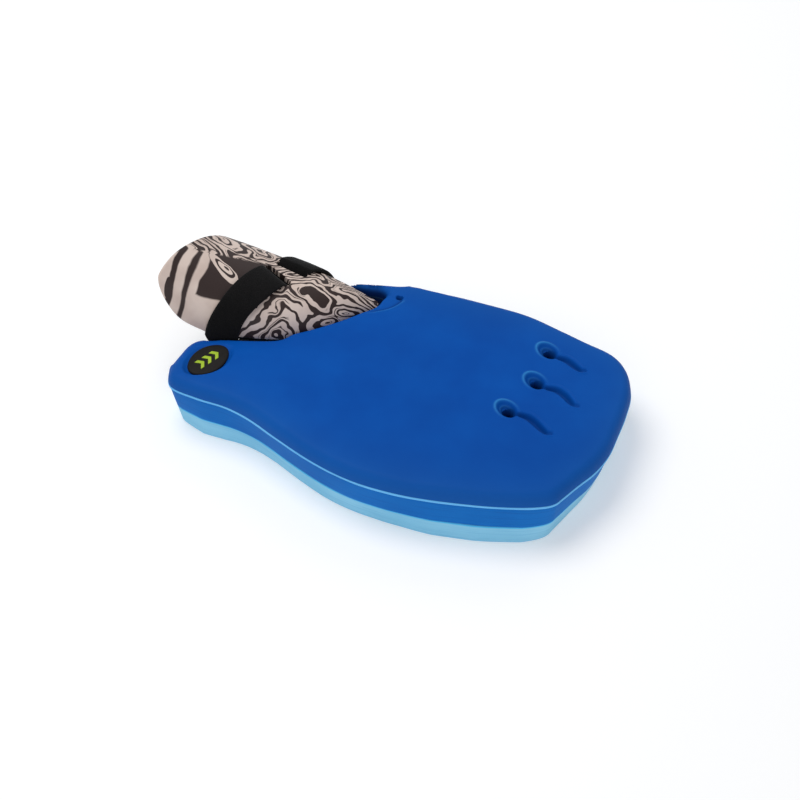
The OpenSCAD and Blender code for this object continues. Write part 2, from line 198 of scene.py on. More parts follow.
def foam_skin(name, base, light, dark):
    """Moulded closed-cell foam face: soft sheen, faint mottling, fine skin grain and stretch wrinkles.

    Painted highlight makes it paler on lips and along the crease's edge, painted shade makes it darker in hollows, and
    painted sheen makes it paler near the rim.
    """
    s = Shader(name)
    mottle = s.noise(22, 3, 0.55)
    colour = s.mix(s.map_range(mottle, 0.35, 0.7), base, light)
    broad = s.noise(7, 1, 0.5)
    colour = s.mix(s.map_range(broad, 0.45, 0.75, 0.0, 0.55), colour, dark)
    # The marks attribute holds painted highlight, painted shade and painted sheen near the rim
    painted_highlight, painted_shade, rim_sheen = s.split(s.attribute("marks"))
    for share, most, tone in ((rim_sheen, 0.6, RIM_SHEEN_BLUE), (painted_highlight, 0.8, HIGHLIGHT_BLUE), (painted_shade, 0.93, SHADOW_BLUE)):
        colour = s.mix(s.math("MULTIPLY", share, most), colour, tone)
    grain = s.noise(900, 4, 0.65)
    pores = s.voronoi(1500)
    stretched = s.vector("MULTIPLY", s.coords, (60, 420, 60))
    wrinkle = s.noise(1.0, 2, 0.5, coords=stretched, distortion=0.6)
    patch = s.map_range(s.noise(14, 1, 0.5), 0.42, 0.62)
    wrinkle = s.math("MULTIPLY", wrinkle, patch)
    normal = s.relief((grain, 0.35, 0.00012), (pores, 0.18, 0.00008), (wrinkle, 0.5, 0.00022))
    rough = s.map_range(grain, 0.2, 0.8, 0.46, 0.62)
    return s.finish(colour, rough, normal, Specular_IOR_Level=0.05)


# Plan place, reach and soft edge, in metres, of the painted shadow at the notch's inner end
HOLLOW_X, HOLLOW_Y, HOLLOW_REACH, HOLLOW_SOFT = -0.040, 0.084, 0.0135, 0.003


def cut_foam(name, base, light, dark, lines, seam=None):
    """Cut edge of a foam slab: open cells, faint saw lines along the slab and a soft tone drift.

    Painted shadow darkens it at the notch's inner end. A seam is (height, width, colour) of a line round the slab.
    """
    s = Shader(name)
    cells = s.voronoi(700, feature="SMOOTH_F1")
    fine = s.noise(1300, 3, 0.6)
    along = s.vector("MULTIPLY", s.coords, (18, 18, 900))
    saw = s.noise(1.0, 3, 0.6, coords=along)
    drift = s.noise(16, 2, 0.5)
    colour = s.mix(s.map_range(drift, 0.35, 0.7), base, light)
    colour = s.mix(s.map_range(saw, 0.5, 0.78, 0.0, lines), colour, dark)
    if seam:
        height, width, bright = seam
        z = s.split(s.coords)[2]
        near = s.math("SUBTRACT", 1.0, s.map_range(s.math("ABSOLUTE", s.math("SUBTRACT", z, height)), 0.0, width))
        colour = s.mix(near, colour, bright)
    # Painted shadow on the cut walls at the notch's inner end
    x, y, _ = s.split(s.coords)
    gap = s.length(s.combine(s.math("SUBTRACT", x, HOLLOW_X), s.math("SUBTRACT", y, HOLLOW_Y)))
    shadow = s.map_range(gap, HOLLOW_REACH, HOLLOW_REACH - HOLLOW_SOFT, 0.0, 0.94, smooth=True)
    colour = s.mix(shadow, colour, SHADOW_BLUE)
    normal = s.relief((cells, 0.3, 0.00018), (fine, 0.3, 0.0001), (saw, 0.35, 0.00016))
    rough = s.map_range(fine, 0.25, 0.75, 0.6, 0.78)
    return s.finish(colour, rough, normal, Specular_IOR_Level=0.12, Sheen_Weight=0.03)


def marbled_foam():
    """Swirled two-tone foam sheet: bold stripes at the wrist end, rings round a few eyes towards the tip."""
    s = Shader("marbled_foam")
    sheet = s.attribute("sheet_xy")
    along, across, _ = s.split(sheet)
    calm = s.math(
        "MULTIPLY", s.map_range(s.math("MULTIPLY_ADD", across, 0.6, along), 0.096, 0.099, smooth=True),
        s.map_range(s.math("MULTIPLY_ADD", along, 0.2, across), 0.0255, 0.0285, 1.0, 0.0, smooth=True)
    )
    wild = s.math("SUBTRACT", 1.0, calm)
    warped = sheet
    for noise, wild_part, always in (((30, 1, 0.4), 0.026, 0.010), ((85, 1.5, 0.45), 0.0085, 0.0025)):
        push = s.vector("SUBTRACT", s.noise(*noise, coords=sheet, socket="Color"), (0.5, 0.5, 0.5))
        warped = s.vector("ADD", warped, s.vector("SCALE", push, s.math("MULTIPLY_ADD", wild, wild_part, always)))
    x, y, _ = s.split(warped)

    # Rings round the eyes; across the crown they are squeezed, so they run along the guard
    stretch, crown_half = 0.8, 9
    turn = s.math("ARCTANGENT", s.math("DIVIDE", y, crown_half * MM))
    place = s.combine(s.math("MULTIPLY", x, stretch), s.math("MULTIPLY_ADD", turn, crown_half * MM, y))
    # Each eye: place along and across the guard, and how much its rings give way to its neighbours'
    eyes = [
        (78, -58, 0), (84, -21, 9), (54, -21, 5), (40, -44, 4), (24, -30, 5),
        (33, 13, 2), (63, 2, 5), (136, 22, 4), (104, 29, 3), (112, 6, 6),
    ]
    ring = None
    for eye_x, eye_y, yields in eyes:
        level_y = eye_y + crown_half * math.atan(eye_y / crown_half)
        gap = s.vector("SUBTRACT", place, (stretch * eye_x * MM, level_y * MM, 0.0))
        away = s.math("ADD", s.length(gap), yields * MM)
        ring = away if ring is None else s.math("SMOOTH_MIN", ring, away, 0.005)
    width = s.math("SUBTRACT", s.noise(40, 1, 0.5, coords=warped), 0.5)
    phase = s.math("MULTIPLY_ADD", ring, 300.0, 0.8)
    band = s.math("MULTIPLY_ADD", width, 0.9, s.math("PINGPONG", phase, 1.0))
    vein = s.math("MULTIPLY_ADD", width, -0.8, s.math("PINGPONG", s.math("MULTIPLY_ADD", phase, 2.0, 0.4), 1.0))
    rings = s.math(
        "MULTIPLY", s.map_range(band, 0.40, 0.48),
        s.math("MAXIMUM", s.map_range(vein, 0.10, 0.24), s.map_range(s.noise(26, 1, 0.5, coords=sheet), 0.50, 0.54))
    )

    def oval(at, size, heading):
        """Distance from a place on the sheet, 1 on an oval of that size about it; and the place across it."""
        c, k = math.cos(math.radians(heading)), math.sin(math.radians(heading))
        ox, oy = s.math("SUBTRACT", x, at[0] * MM), s.math("SUBTRACT", y, at[1] * MM)
        long_way = s.math("DIVIDE", s.math("MULTIPLY_ADD", ox, c, s.math("MULTIPLY", oy, k)), size[0] * MM)
        short_way = s.math("DIVIDE", s.math("MULTIPLY_ADD", oy, c, s.math("MULTIPLY", ox, -k)), size[1] * MM)
        return s.length(s.combine(long_way, short_way)), short_way

    # A long slanted eye beside the strap; its rings crowd together towards the crown
    away, short_way = oval((126.5, -12), (15.5, 4.7), 38)
    slant = s.math("MULTIPLY_ADD", short_way, 0.42, away)
    slant_phase = s.math("MAXIMUM", s.math("MULTIPLY_ADD", slant, 4.2, -0.3), 0.0)
    slant_band = s.math("MULTIPLY_ADD", width, 0.5, s.math("PINGPONG", slant_phase, 1.0))
    slant_rings = s.map_range(slant_band, 0.30, 0.40)

    # Stripes across the wrist end, as steps along a slightly slanted line
    field = s.math("MULTIPLY_ADD", y, 0.10, s.math("MULTIPLY_ADD", s.math("MAXIMUM", y, -0.028), 0.17, x))
    steps = [(0.1375, 1), (0.1440, 0), (0.1480, 1), (0.1555, 0), (0.1608, 1), (0.1725, 0), (0.1755, 1)]
    low, high = 0.110, 0.190
    stops = [(0.0, 0.0)]
    for place_at, light in steps:
        u = (place_at - low) / (high - low)
        stops += [(u - 0.006, 1.0 - light), (u + 0.006, float(light))]
    stripes = s.ramp(s.map_range(field, low, high), stops)
    below_patch = s.map_range(y, -0.0385, -0.0400)
    stripes = s.math("MAXIMUM", stripes, s.math("MULTIPLY", below_patch, s.map_range(field, 0.1440, 0.1430)))
    light_part = s.mix(calm, rings, stripes)
    light_part = s.mix(s.map_range(slant, 1.0, 0.96), light_part, slant_rings)

    # Plain dark patches
    for at, size, heading in [
        ((54, -21), (6.2, 5.2), 0), ((48, -41), (2.2, 2.0), 0), ((104, 0), (21, 4.5), 0),
        ((169, -39), (3.5, 8.0), 0), ((168, -14), (13, 1.5), -52),
    ]:
        light_part = s.mix(s.map_range(oval(at, size, heading)[0], 1.04, 0.96), light_part, (0.0, 0.0, 0.0))
    cream, dull_cream, ink = (0.71, 0.585, 0.515), (0.60, 0.475, 0.415), (0.034, 0.020, 0.018)
    tone = s.mix(s.map_range(s.noise(60, 2, 0.5, coords=warped), 0.35, 0.7), cream, dull_cream)
    colour = s.mix(light_part, ink, tone)
    grain = s.noise(1100, 3, 0.6)
    normal = s.relief((grain, 0.25, 0.0001), (s.noise(180, 2, 0.5), 0.2, 0.0002))
    rough = s.map_range(grain, 0.2, 0.8, 0.40, 0.55)
    return s.finish(colour, rough, normal, Specular_IOR_Level=0.25, Coat_Weight=0.03, Coat_Roughness=0.3)


def pile_fabric(name, base, tip, scale=1.0):
    """Brushed loop pile, as on hook and loop strapping."""
    s = Shader(name)
    tufts = s.voronoi(1500 * scale)
    fuzz = s.noise(2600 * scale, 4, 0.7)
    drift = s.noise(90, 2, 0.5)
    colour = s.mix(s.map_range(tufts, 0.1, 0.7), tip, base)
    colour = s.mix(s.map_range(drift, 0.4, 0.7, 0.0, 0.5), colour, base)
    return s.finish(
        colour, 0.95, s.relief((tufts, 0.8, 0.0003), (fuzz, 0.6, 0.0002)), Specular_IOR_Level=0.12,
        Sheen_Weight=0.12, Sheen_Roughness=0.5, Sheen_Tint=(0.5, 0.5, 0.52, 1.0)
    )


def woven_band(name, base, light, pitch=0.0011):
    """Ribbed elastic or webbing: ribs across the band, fine threads along it."""
    s = Shader(name)
    place = s.attribute("band_xy")
    turns = math.pi / pitch / 10
    ribs = s.wave(turns, "X", 0.2, place)
    threads = s.wave(turns * 0.8, "Y", 0.3, place)
    fuzz = s.noise(2200, 3, 0.6)
    weave = s.math("MULTIPLY", ribs, s.math("MULTIPLY_ADD", threads, 0.6, 0.4))
    colour = s.mix(weave, base, light)
    normal = s.relief((weave, 0.7, 0.0003), (fuzz, 0.4, 0.00012))
    return s.finish(colour, 0.8, normal, Specular_IOR_Level=0.25, Sheen_Weight=0.15, Sheen_Roughness=0.5)


def knit_lining():
    """Perforated stretch lining over thin padding."""
    s = Shader("lining_fabric")
    holes = s.voronoi(260, random=0.05)
    knit = s.noise(1500, 3, 0.6)
    dots = s.map_range(holes, 0.16, 0.24)
    colour = s.mix(dots, (0.004, 0.004, 0.005), (0.024, 0.025, 0.029))
    normal = s.relief((dots, 0.7, 0.0006), (knit, 0.4, 0.00015))
    return s.finish(colour, 0.85, normal, Specular_IOR_Level=0.2, Sheen_Weight=0.2, Sheen_Roughness=0.4)


def moulded(name, base, light, rough):
    """Injection moulded plastic or rubber with a fine spark-eroded grain."""
    s = Shader(name)
    grain = s.noise(1400, 3, 0.6)
    drift = s.noise(70, 2, 0.5)
    colour = s.mix(s.map_range(drift, 0.35, 0.7), base, light)
    sheen = s.map_range(grain, 0.25, 0.75, rough - 0.06, rough + 0.08)
    return s.finish(colour, sheen, s.relief((grain, 0.25, 0.00006)), Specular_IOR_Level=0.12)


def hook_plastic():
    """Hook tape: rows of stiff little hooks."""
    s = Shader("hook_tape")
    rows = s.voronoi(1100, random=0.25)
    colour = s.mix(s.map_range(rows, 0.15, 0.6), (0.055, 0.055, 0.06), (0.012, 0.012, 0.013))
    return s.finish(colour, 0.55, s.relief((rows, 0.9, 0.0005)), Specular_IOR_Level=0.4)


SKIN = foam_skin("face_foam", (0.0005, 0.070, 0.370), (0.001, 0.086, 0.420), (0.002, 0.062, 0.320))
STRIPE = cut_foam("stripe_foam", (0.13, 0.48, 0.90), (0.17, 0.55, 0.95), (0.08, 0.38, 0.82), 0.25)
CORE = cut_foam("core_foam", (0.0005, 0.128, 0.48), (0.003, 0.165, 0.56), (0.0003, 0.085, 0.38), 0.5)
BASE = cut_foam(
    "base_foam", (0.23, 0.57, 0.80), (0.30, 0.65, 0.87), (0.11, 0.39, 0.66), 0.5,
    seam=(0.0170, 0.0012, (0.06, 0.52, 0.90)),
)
MARBLE = marbled_foam()
PILE = pile_fabric("strap_webbing", (0.0035, 0.0034, 0.0034), (0.011, 0.010, 0.010))
LOOP_PILE = pile_fabric("loop_pile", (0.010, 0.010, 0.012), (0.022, 0.022, 0.025), 0.8)
LINER = pile_fabric("guard_liner", (0.009, 0.008, 0.008), (0.02, 0.018, 0.018), 0.7)
ELASTIC = woven_band("elastic_band", (0.010, 0.010, 0.013), (0.05, 0.05, 0.058))
WEBBING = woven_band("flat_webbing", (0.006, 0.006, 0.007), (0.03, 0.03, 0.034), pitch=0.0016)
LINING = knit_lining()
BADGE = moulded("badge_rubber", (0.009, 0.008, 0.0075), (0.014, 0.012, 0.011), 0.55)
EMBLEM = moulded("emblem_print", (0.36, 0.52, 0.03), (0.42, 0.58, 0.04), 0.42)
RIVET = moulded("rivet_plastic", (0.010, 0.010, 0.011), (0.018, 0.018, 0.020), 0.4)
HOOKS = hook_plastic()


# ---- mesh helpers (millimetres in, metres out)
def make_object(name, points, faces, material, sharp_deg=None):
    mesh = bpy.data.meshes.new(name)
    mesh.from_pydata([tuple(p) for p in np.asarray(points, float) * MM], [], [tuple(f) for f in faces])
    mesh.validate()
    mesh.update()
    made = bpy.data.objects.new(name, mesh)
    bpy.context.scene.collection.objects.link(made)
    mesh.materials.append(material)
    clean(made)
    shade(made, sharp_deg)
    return made


def clean(piece, merge=None):
    """Turns all faces outwards, after merging points closer than merge metres."""
    work = bmesh.new()
    work.from_mesh(piece.data)
    if merge:
        bmesh.ops.remove_doubles(work, verts=work.verts, dist=merge)
    bmesh.ops.recalc_face_normals(work, faces=work.faces)
    work.to_mesh(piece.data)
    work.free()


def shade(piece, sharp_deg):
    """Smooth shading, with creases where faces meet at more than sharp_deg."""
    mesh = piece.data
    mesh.polygons.foreach_set("use_smooth", [True] * len(mesh.polygons))
    if sharp_deg is not None:
        mesh.set_sharp_from_angle(angle=math.radians(sharp_deg))
    mesh.update()


def applied(piece):
    """Bakes a piece's modifiers into its mesh."""
    bpy.context.view_layer.update()
    evaluated = piece.evaluated_get(bpy.context.evaluated_depsgraph_get())
    mesh = bpy.data.meshes.new_from_object(evaluated)
    old = piece.data
    piece.modifiers.clear()
    piece.data = mesh
    mesh.name = old.name
    bpy.data.meshes.remove(old)
    return piece


def cut(piece, cutter):
    """Takes the cutter's solid out of the piece, and removes the cutter."""
    boolean = piece.modifiers.new("cut", "BOOLEAN")
    boolean.operation = "DIFFERENCE"
    boolean.solver = "EXACT"
    boolean.object = cutter
    applied(piece)
    bpy.data.objects.remove(cutter, do_unlink=True)
    return piece


def points_of(piece):
    """A piece's points in millimetres."""
    flat = np.empty(len(piece.data.vertices) * 3)
    piece.data.vertices.foreach_get("co", flat)
    return flat.reshape(-1, 3) / MM


def store_vectors(piece, name, vectors):
    """Stores a vector in metres at each point, for the material."""
    layer = piece.data.attributes.new(name, "FLOAT_VECTOR", "POINT")
    layer.data.foreach_set("vector", (np.asarray(vectors, float) * MM).ravel())


def catmull(a, b, c, d, u):
    return 0.5 * (2 * b + (c - a) * u + (2 * a - 5 * b + 4 * c - d) * u**2 + (3 * b - a - 3 * c + d) * u**3)


def smooth_path(points, steps, closed=True):
    """Catmull-Rom curve through the points."""
    points = np.asarray(points, float)
    count = len(points)
    if not closed:
        points = np.vstack([2 * points[0] - points[1], points, 2 * points[-1] - points[-2]])
    out = []
    for i in range(count if closed else count - 1):
        if closed:
            four = [points[(i + k - 1) % count] for k in range(4)]
        else:
            four = [points[i + k] for k in range(4)]
        out += [catmull(*four, u) for u in np.arange(steps) / steps]
    if not closed:
        out.append(points[-2])
    return np.array(out)


def run_lengths(path):
    """How far along a path each of its points is."""
    return np.r_[0, np.cumsum(np.linalg.norm(np.diff(path, axis=0), axis=1))]


def even_path(points, spacing, closed=True):
    """The same path with points at an even spacing."""
    points = np.asarray(points, float)
    ring = np.vstack([points, points[:1]]) if closed else points
    lengths = run_lengths(ring)
    count = max(3, int(round(lengths[-1] / spacing)))
    at = np.linspace(0, lengths[-1], count + 1)
    out = np.column_stack([np.interp(at, lengths, ring[:, k]) for k in range(ring.shape[1])])
    return out[:-1] if closed else out


def boundary_loops(node, height):
    """Closed outlines of a CAD node's flat faces at that height, longest first, anticlockwise, in mm."""
    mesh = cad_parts[node].data
    places = [tuple(round(c / MM, 3) for c in v.co) for v in mesh.vertices]
    edges = {}
    for face in mesh.polygons:
        corners = [places[i] for i in face.vertices]
        if any(abs(c[2] - height) > 0.01 for c in corners):
            continue
        for a, b in zip(corners, corners[1:] + corners[:1]):
            edges[(a, b)] = edges.get((a, b), 0) + 1
    after = {a: b for (a, b) in edges if (b, a) not in edges}
    loops = []
    while after:
        start, point = after.popitem()
        loop = [start]
        while point != start and point in after:
            loop.append(point)
            point = after.pop(point)
        loops.append(np.array(loop)[:, :2])
    loops.sort(key=len, reverse=True)
    return [loop if turned(loop) > 0 else loop[::-1] for loop in loops]


def turned(loop):
    """Signed area of a loop, positive when it runs anticlockwise."""
    x, y = loop[:, 0], loop[:, 1]
    return 0.5 * float(np.sum(x * np.roll(y, -1) - np.roll(x, -1) * y))


def inward_normals(loop, reach):
    """Inward unit normals of an anticlockwise loop, averaged over reach points each way."""
    tangent = np.roll(loop, -1, 0) - np.roll(loop, 1, 0)
    normal = np.column_stack([-tangent[:, 1], tangent[:, 0]])
    normal /= np.linalg.norm(normal, axis=1)[:, None]
    total = sum(np.roll(normal, k, 0) for k in range(-reach, reach + 1))
    return total / np.linalg.norm(total, axis=1)[:, None]


def distance_to(points, line, closed=False):
    """Distance from each point to a polyline, with the nearest segment's index and place along it."""
    line = np.asarray(line, float)
    ends = np.roll(line, -1, 0) if closed else line[1:]
    starts = line if closed else line[:-1]
    run = ends - starts
    length2 = np.maximum((run**2).sum(1), 1e-12)
    best, index, place = [], [], []
    for block in np.array_split(np.asarray(points, float), max(1, len(points) // 1500)):
        gap = block[:, None, :] - starts[None]
        along = np.clip((gap * run[None]).sum(2) / length2, 0, 1)
        d = np.linalg.norm(gap - along[..., None] * run[None], axis=2)
        k = d.argmin(1)
        rows = np.arange(len(block))
        best.append(d[rows, k])
        index.append(k)
        place.append(along[rows, k])
    return np.concatenate(best), np.concatenate(index), np.concatenate(place)


def smoothstep(low, high, x):
    u = np.clip((np.asarray(x, float) - low) / (high - low), 0, 1)
    return u * u * (3 - 2 * u)


def bell(x, spread):
    return np.exp(-((x / spread) ** 2))


def rounded(u, power):
    """Quarter superellipse: 0 at u = 0, 1 from u = 1."""
    return (1 - (1 - np.clip(u, 0, 1)) ** power) ** (1 / power)


def triangulate(points, loop_count):
    """Triangles inside the loop made by the first loop_count points, through all the points."""
    flat = [Vector((float(p[0]), float(p[1]))) for p in points]
    verts, _, faces, _, _, _ = delaunay_2d_cdt(flat, [], [list(range(loop_count))], 1, 1e-5)
    return np.array([tuple(v) for v in verts]), [tuple(f) for f in faces]


def inside(points, loop):
    """Which points lie inside a closed loop."""
    x, y = points[:, 0], points[:, 1]
    hit = np.zeros(len(points), bool)
    for a, b in zip(loop, np.roll(loop, -1, 0)):
        crosses = (a[1] > y) != (b[1] > y)
        hit ^= crosses & (x < (b[0] - a[0]) * (y - a[1]) / (b[1] - a[1] + 1e-12) + a[0])
    return hit


def scatter(loop, spacing, margin, fine_spots):
    """Points inside a loop: a staggered grid, finer inside each spot (loop, spacing)."""
    low, high = loop.min(0), loop.max(0)
    found = []
    regions = [(loop, spacing, [spot for spot, _ in fine_spots])]
    regions += [(spot, step, []) for spot, step in fine_spots]
    for region, step, holes in regions:
        a, b = np.maximum(low, region.min(0)), np.minimum(high, region.max(0))
        columns = np.arange(a[0], b[0], step)
        grid = np.vstack([
            np.column_stack([columns + (k % 2) * step / 2, np.full(len(columns), y)])
            for k, y in enumerate(np.arange(a[1], b[1], step * 0.87))
        ])
        keep = inside(grid, loop) & inside(grid, region)
        for hole in holes:
            keep &= ~inside(grid, hole)
        found.append(grid[keep])
    grid = np.vstack(found)
    d, _, _ = distance_to(grid, loop, True)
    return grid[d > margin]


def sheet_solid(name, loop, rings, spacing, height, floor_z, material, fine_spots=()):
    """Closed solid over a loop: a flat face at floor_z, and a face whose height is height(points)."""
    normal = inward_normals(loop, 1)
    layers = [loop]
    for step in rings:
        moved = loop + normal * step
        d, _, _ = distance_to(moved, loop, True)
        layers.append(moved[(d > 0.85 * step) & inside(moved, loop)])
    layers.append(scatter(loop, spacing, rings[-1] * 1.35, fine_spots))
    flat, faces = triangulate(np.vstack(layers), len(loop))
    top = np.column_stack([flat, height(flat)])
    edges = {(a, b) for face in faces for a, b in zip(face, face[1:] + face[:1])}
    rim = [(a, b) for a, b in edges if (b, a) not in edges]
    rim_points = sorted({a for a, _ in rim})
    lower = {a: len(top) + i for i, a in enumerate(rim_points)}
    after = dict(rim)
    order = [rim_points[0]]
    while len(order) < len(rim_points):
        order.append(after[order[-1]])
    _, base_faces = triangulate(flat[order], len(order))
    points = np.vstack([top, np.column_stack([flat[rim_points], np.full(len(rim_points), floor_z)])])
    names = [lower[i] for i in order]
    faces = list(faces) + [(b, a, lower[a], lower[b]) for a, b in rim]
    faces += [tuple(names[i] for i in reversed(f)) for f in base_faces]
    made = make_object(name, points, faces, material)
    clean(made, 0.01 * MM)
    shade(made, 50)
    return made


def slab_solid(name, loop, rows, inset, material):
    """Closed slab: loop swept up through rows of (z, extra inset), with inset(loop, z) for the wall's lean."""
    normal = inward_normals(loop, 4)
    rings = []
    for z, extra in rows:
        moved = loop + normal * (extra + inset(loop, z))[:, None]
        rings.append(np.column_stack([moved, np.full(len(loop), z)]))
    return sweep(name, rings, material, sharp_deg=40)


def tube_faces(n, k, first=0, closed=False):
    """Quads that join n rings of k points each, numbered from first."""
    return [
        (first + i * k + j, first + i * k + (j + 1) % k,
         first + (i + 1) % n * k + (j + 1) % k, first + (i + 1) % n * k + j)
        for i in range(n if closed else n - 1) for j in range(k)
    ]


def sweep(name, rings, material, closed=False, sharp_deg=None):
    """Joins rings of equal count into a tube, open ones capped. rings: (n, k, 3) in mm."""
    rings = np.asarray(rings, float)
    n, k = rings.shape[:2]
    faces = tube_faces(n, k, closed=closed)
    if not closed:
        faces += [tuple(range(k)), tuple((n - 1) * k + j for j in reversed(range(k)))]
    return make_object(name, rings.reshape(-1, 3), faces, material, sharp_deg)


def fanned(name, first, rings, last, material, sharp_deg):
    """Joins rings of equal count into a solid, each end closed by a fan to a point."""
    n, k = np.shape(rings)[:2]
    points = np.vstack([[first], np.reshape(rings, (-1, 3)), [last]])
    end = 1 + (n - 1) * k
    faces = [(0, 1 + (i + 1) % k, 1 + i) for i in range(k)] + tube_faces(n, k, 1)
    faces += [(end + i, end + (i + 1) % k, len(points) - 1) for i in range(k)]
    return make_object(name, points, faces, material, sharp_deg)


def lathe(name, profile, centre, material):
    """Turns a profile of (radius, z) about a vertical axis; it starts and ends on the axis."""
    rings = [[(x, y, z) for x, y in circle(centre, radius, 40)] for radius, z in profile[1:-1]]
    ends = [(centre[0], centre[1], profile[i][1]) for i in (0, -1)]
    return fanned(name, ends[0], rings, ends[1], material, 40)


def joined(name, parts):
    """Several objects made into one."""
    work = bmesh.new()
    for part in parts:
        work.from_mesh(part.data)
    mesh = bpy.data.meshes.new(name)
    work.to_mesh(mesh)
    work.free()
    made = bpy.data.objects.new(name, mesh)
    bpy.context.scene.collection.objects.link(made)
    mesh.materials.append(parts[0].data.materials[0])
    for part in parts:
        bpy.data.objects.remove(part, do_unlink=True)
    return made


def band_ring(width, thick, corners):
    """Cross-section of a flat band as (across, through) pairs, with rounded edges and a flat middle."""
    half, r = width / 2, thick / 2
    flats = np.linspace(-half + r, half - r, 9)
    turns = np.linspace(math.pi / 2, -math.pi / 2, corners + 2)[1:-1]
    edge = [(half - r + r * math.cos(a), r * math.sin(a)) for a in turns]
    one_side = [(x, r) for x in flats] + edge
    return one_side + [(-x, -h) for x, h in one_side]


def band_marks(piece, stations, ring):
    """Stores where each point lies across and along a band, for its weave."""
    marks = [(across, along, 0) for along in stations for across, _ in ring]
    store_vectors(piece, "band_xy", marks)


# ---- sizes, in millimetres, from the CAD nodes' boxes
def corners(node):
    """Lowest and highest corner of a CAD node's box."""
    low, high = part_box(node)
    return np.array(low) / MM, np.array(high) / MM


def centre(node):
    low, high = corners(node)
    return (low + high) / 2


def level(node, side):
    """Height of a node's lowest (0) or highest (1) corner."""
    return corners(node)[side][2]


BASE_TOP = level("base_foam", 1)
CORE_TOP = level("core_foam", 1)
STRIPE_TOP = level("stripe_foam", 1)
CROWN = level("face_foam", 1)
CEILING = level("palm_lining", 1)
LINING_LOW = level("palm_lining", 0)

# The CAD's outline, from the heel lobe's end round the rim to the thumb side, and back through the notch
outline = even_path(smooth_path(boundary_loops("stripe_foam", STRIPE_TOP)[0], 4), 1.2)
outline = np.roll(outline, -int(outline[:, 0].argmin()), 0)
rim_count = int(np.where(outline[:, 1] > 80, outline[:, 0], np.inf).argmin()) + 1

# The foam's own line: the rim beside the notch runs a little straighter, and the notch ends a little sooner
RIM_SHIFT = [(-62, 0), (-50, 0.9), (-32, 1.5), (-21, 1.5), (-17, 0.4), (-13.5, -0.8), (-6, 0)]
NOTCH_END_SHIFT, NOTCH_END_Y, NOTCH_END_SPREAD = 3.3, 82, 8
STRAP_ROOM, STRAP_ROOM_X, STRAP_ROOM_SPREAD = 1.4, -144.5, 5.5
far_rim = (outline[:, 1] > 94) & (outline[:, 0] < 0)
outline[:, 1] += far_rim * np.interp(outline[:, 0], *zip(*RIM_SHIFT))
notch_end = (np.abs(outline[:, 0] + 35) < 12) & (outline[:, 1] < 94) & (outline[:, 1] > 60)
outline[:, 0] -= notch_end * NOTCH_END_SHIFT * bell(outline[:, 1] - NOTCH_END_Y, NOTCH_END_SPREAD)
# Room for the strap when the guard is pressed down
beside_strap = np.abs(outline[:, 1] + 8) < 6
outline[:, 1] -= beside_strap * STRAP_ROOM * bell(outline[:, 0] - STRAP_ROOM_X, STRAP_ROOM_SPREAD)
rim = outline[:rim_count]
notch = np.vstack([outline[rim_count - 1:], outline[:1]])
along_rim, along_notch = run_lengths(rim), run_lengths(notch)
# How much of the wall's lean there is at each point: all of it on the rim, none in the notch
rim_weight = np.zeros(len(outline))
rim_weight[:rim_count] = np.minimum(1, (along_rim[-1] - along_rim) / 65)
rim_weight[rim_count - 1:] = np.clip(1 - (along_notch[-1] - along_notch[:-1]) / 26, 0, 1)

# Walls of the hand pocket, as in the CAD
POCKET = [
    (-230, -22), (-158, -22), (-148, -15.5), (-126, -9), (-98, 0), (-75, -18), (-40, -34), (20, -38), (100, -38),
    (132, -28), (147, 0), (148, 50), (140, 74), (119, 87), (82, 92.5), (30, 95), (-10, 94.5), (-37, 93.3),
    (-47, 92), (-59, 90.9), (-66, 93), (-70, 130), (-230, 130),
]
# Each elastic loop: how far it is turned, in degrees, and the body it rides on
LOOPS = {
    "index_finger_loop": (8, "index_loop"), "middle_finger_loop": (0, "middle_loop"),
    "outer_finger_loop": (-6, "outer_loop"), "thumb_loop": (14, "thumb_loop_band"),
}
PLACES = {node: tuple(centre(node)[:2]) for node in LOOPS}
*FINGERS, THUMB = PLACES.values()


# ---- foam slabs
# Gap left between bonded layers, and the radius of the holes for the rivets' shanks
GLUE_GAP = 0.02
BORE = 2.3
# Lean of the wall at the foot against x, on the near side and on the thumb side, as in the CAD
NEAR_LEAN = [
    (-163, 8.5), (-146, 5), (-130, 1), (-110, 1.5), (-92, 4.4), (-77, 6.3), (-64, 7.2), (-37, 6.4), (-16, 5),
    (28, 5), (53, 3.4), (77, 1), (110, 0.5), (144, 1), (157, 3.3), (173, 7.2), (188, 11),
]
FAR_LEAN = [(-60, 2.5), (120, 2.5), (160, 4), (173, 7), (188, 11)]


def lean(loop):
    """How far the wall leans in at the foot."""
    near, far = np.array(NEAR_LEAN), np.array(FAR_LEAN)
    x, y = loop[:, 0], loop[:, 1]
    share = smoothstep(-12, 12, y)
    return np.interp(x, *near.T) * (1 - share) + np.interp(x, *far.T) * share


def wobble(loop, seed, size):
    """Slow hand-cut waviness of a wall."""
    turn = np.arange(len(loop)) / len(loop) * 2 * math.pi
    waves = [(5 + seed, 1.0), (11 + 2 * seed, 0.6), (23 + 3 * seed, 0.35)]
    return size * sum(a * np.sin(k * turn + seed * k) for k, a in waves)


def wall_inset(seed):
    """How far in a slab's wall stands at a height: its lean, and its own hand-cut waviness."""
    size = 0.22

    def inset(loop, z):
        rise = np.clip((STRIPE_TOP - z) / STRIPE_TOP, 0, 1)
        return rim_weight * (rise**1.15 * lean(loop) + wobble(loop, seed, size) + size * 1.4)
    return inset


def prism(name, loop, low, high):
    """Upright cutter over a plan loop."""
    return sweep(name, [np.column_stack([loop, np.full(len(loop), z)]) for z in (low, high)], SKIN)


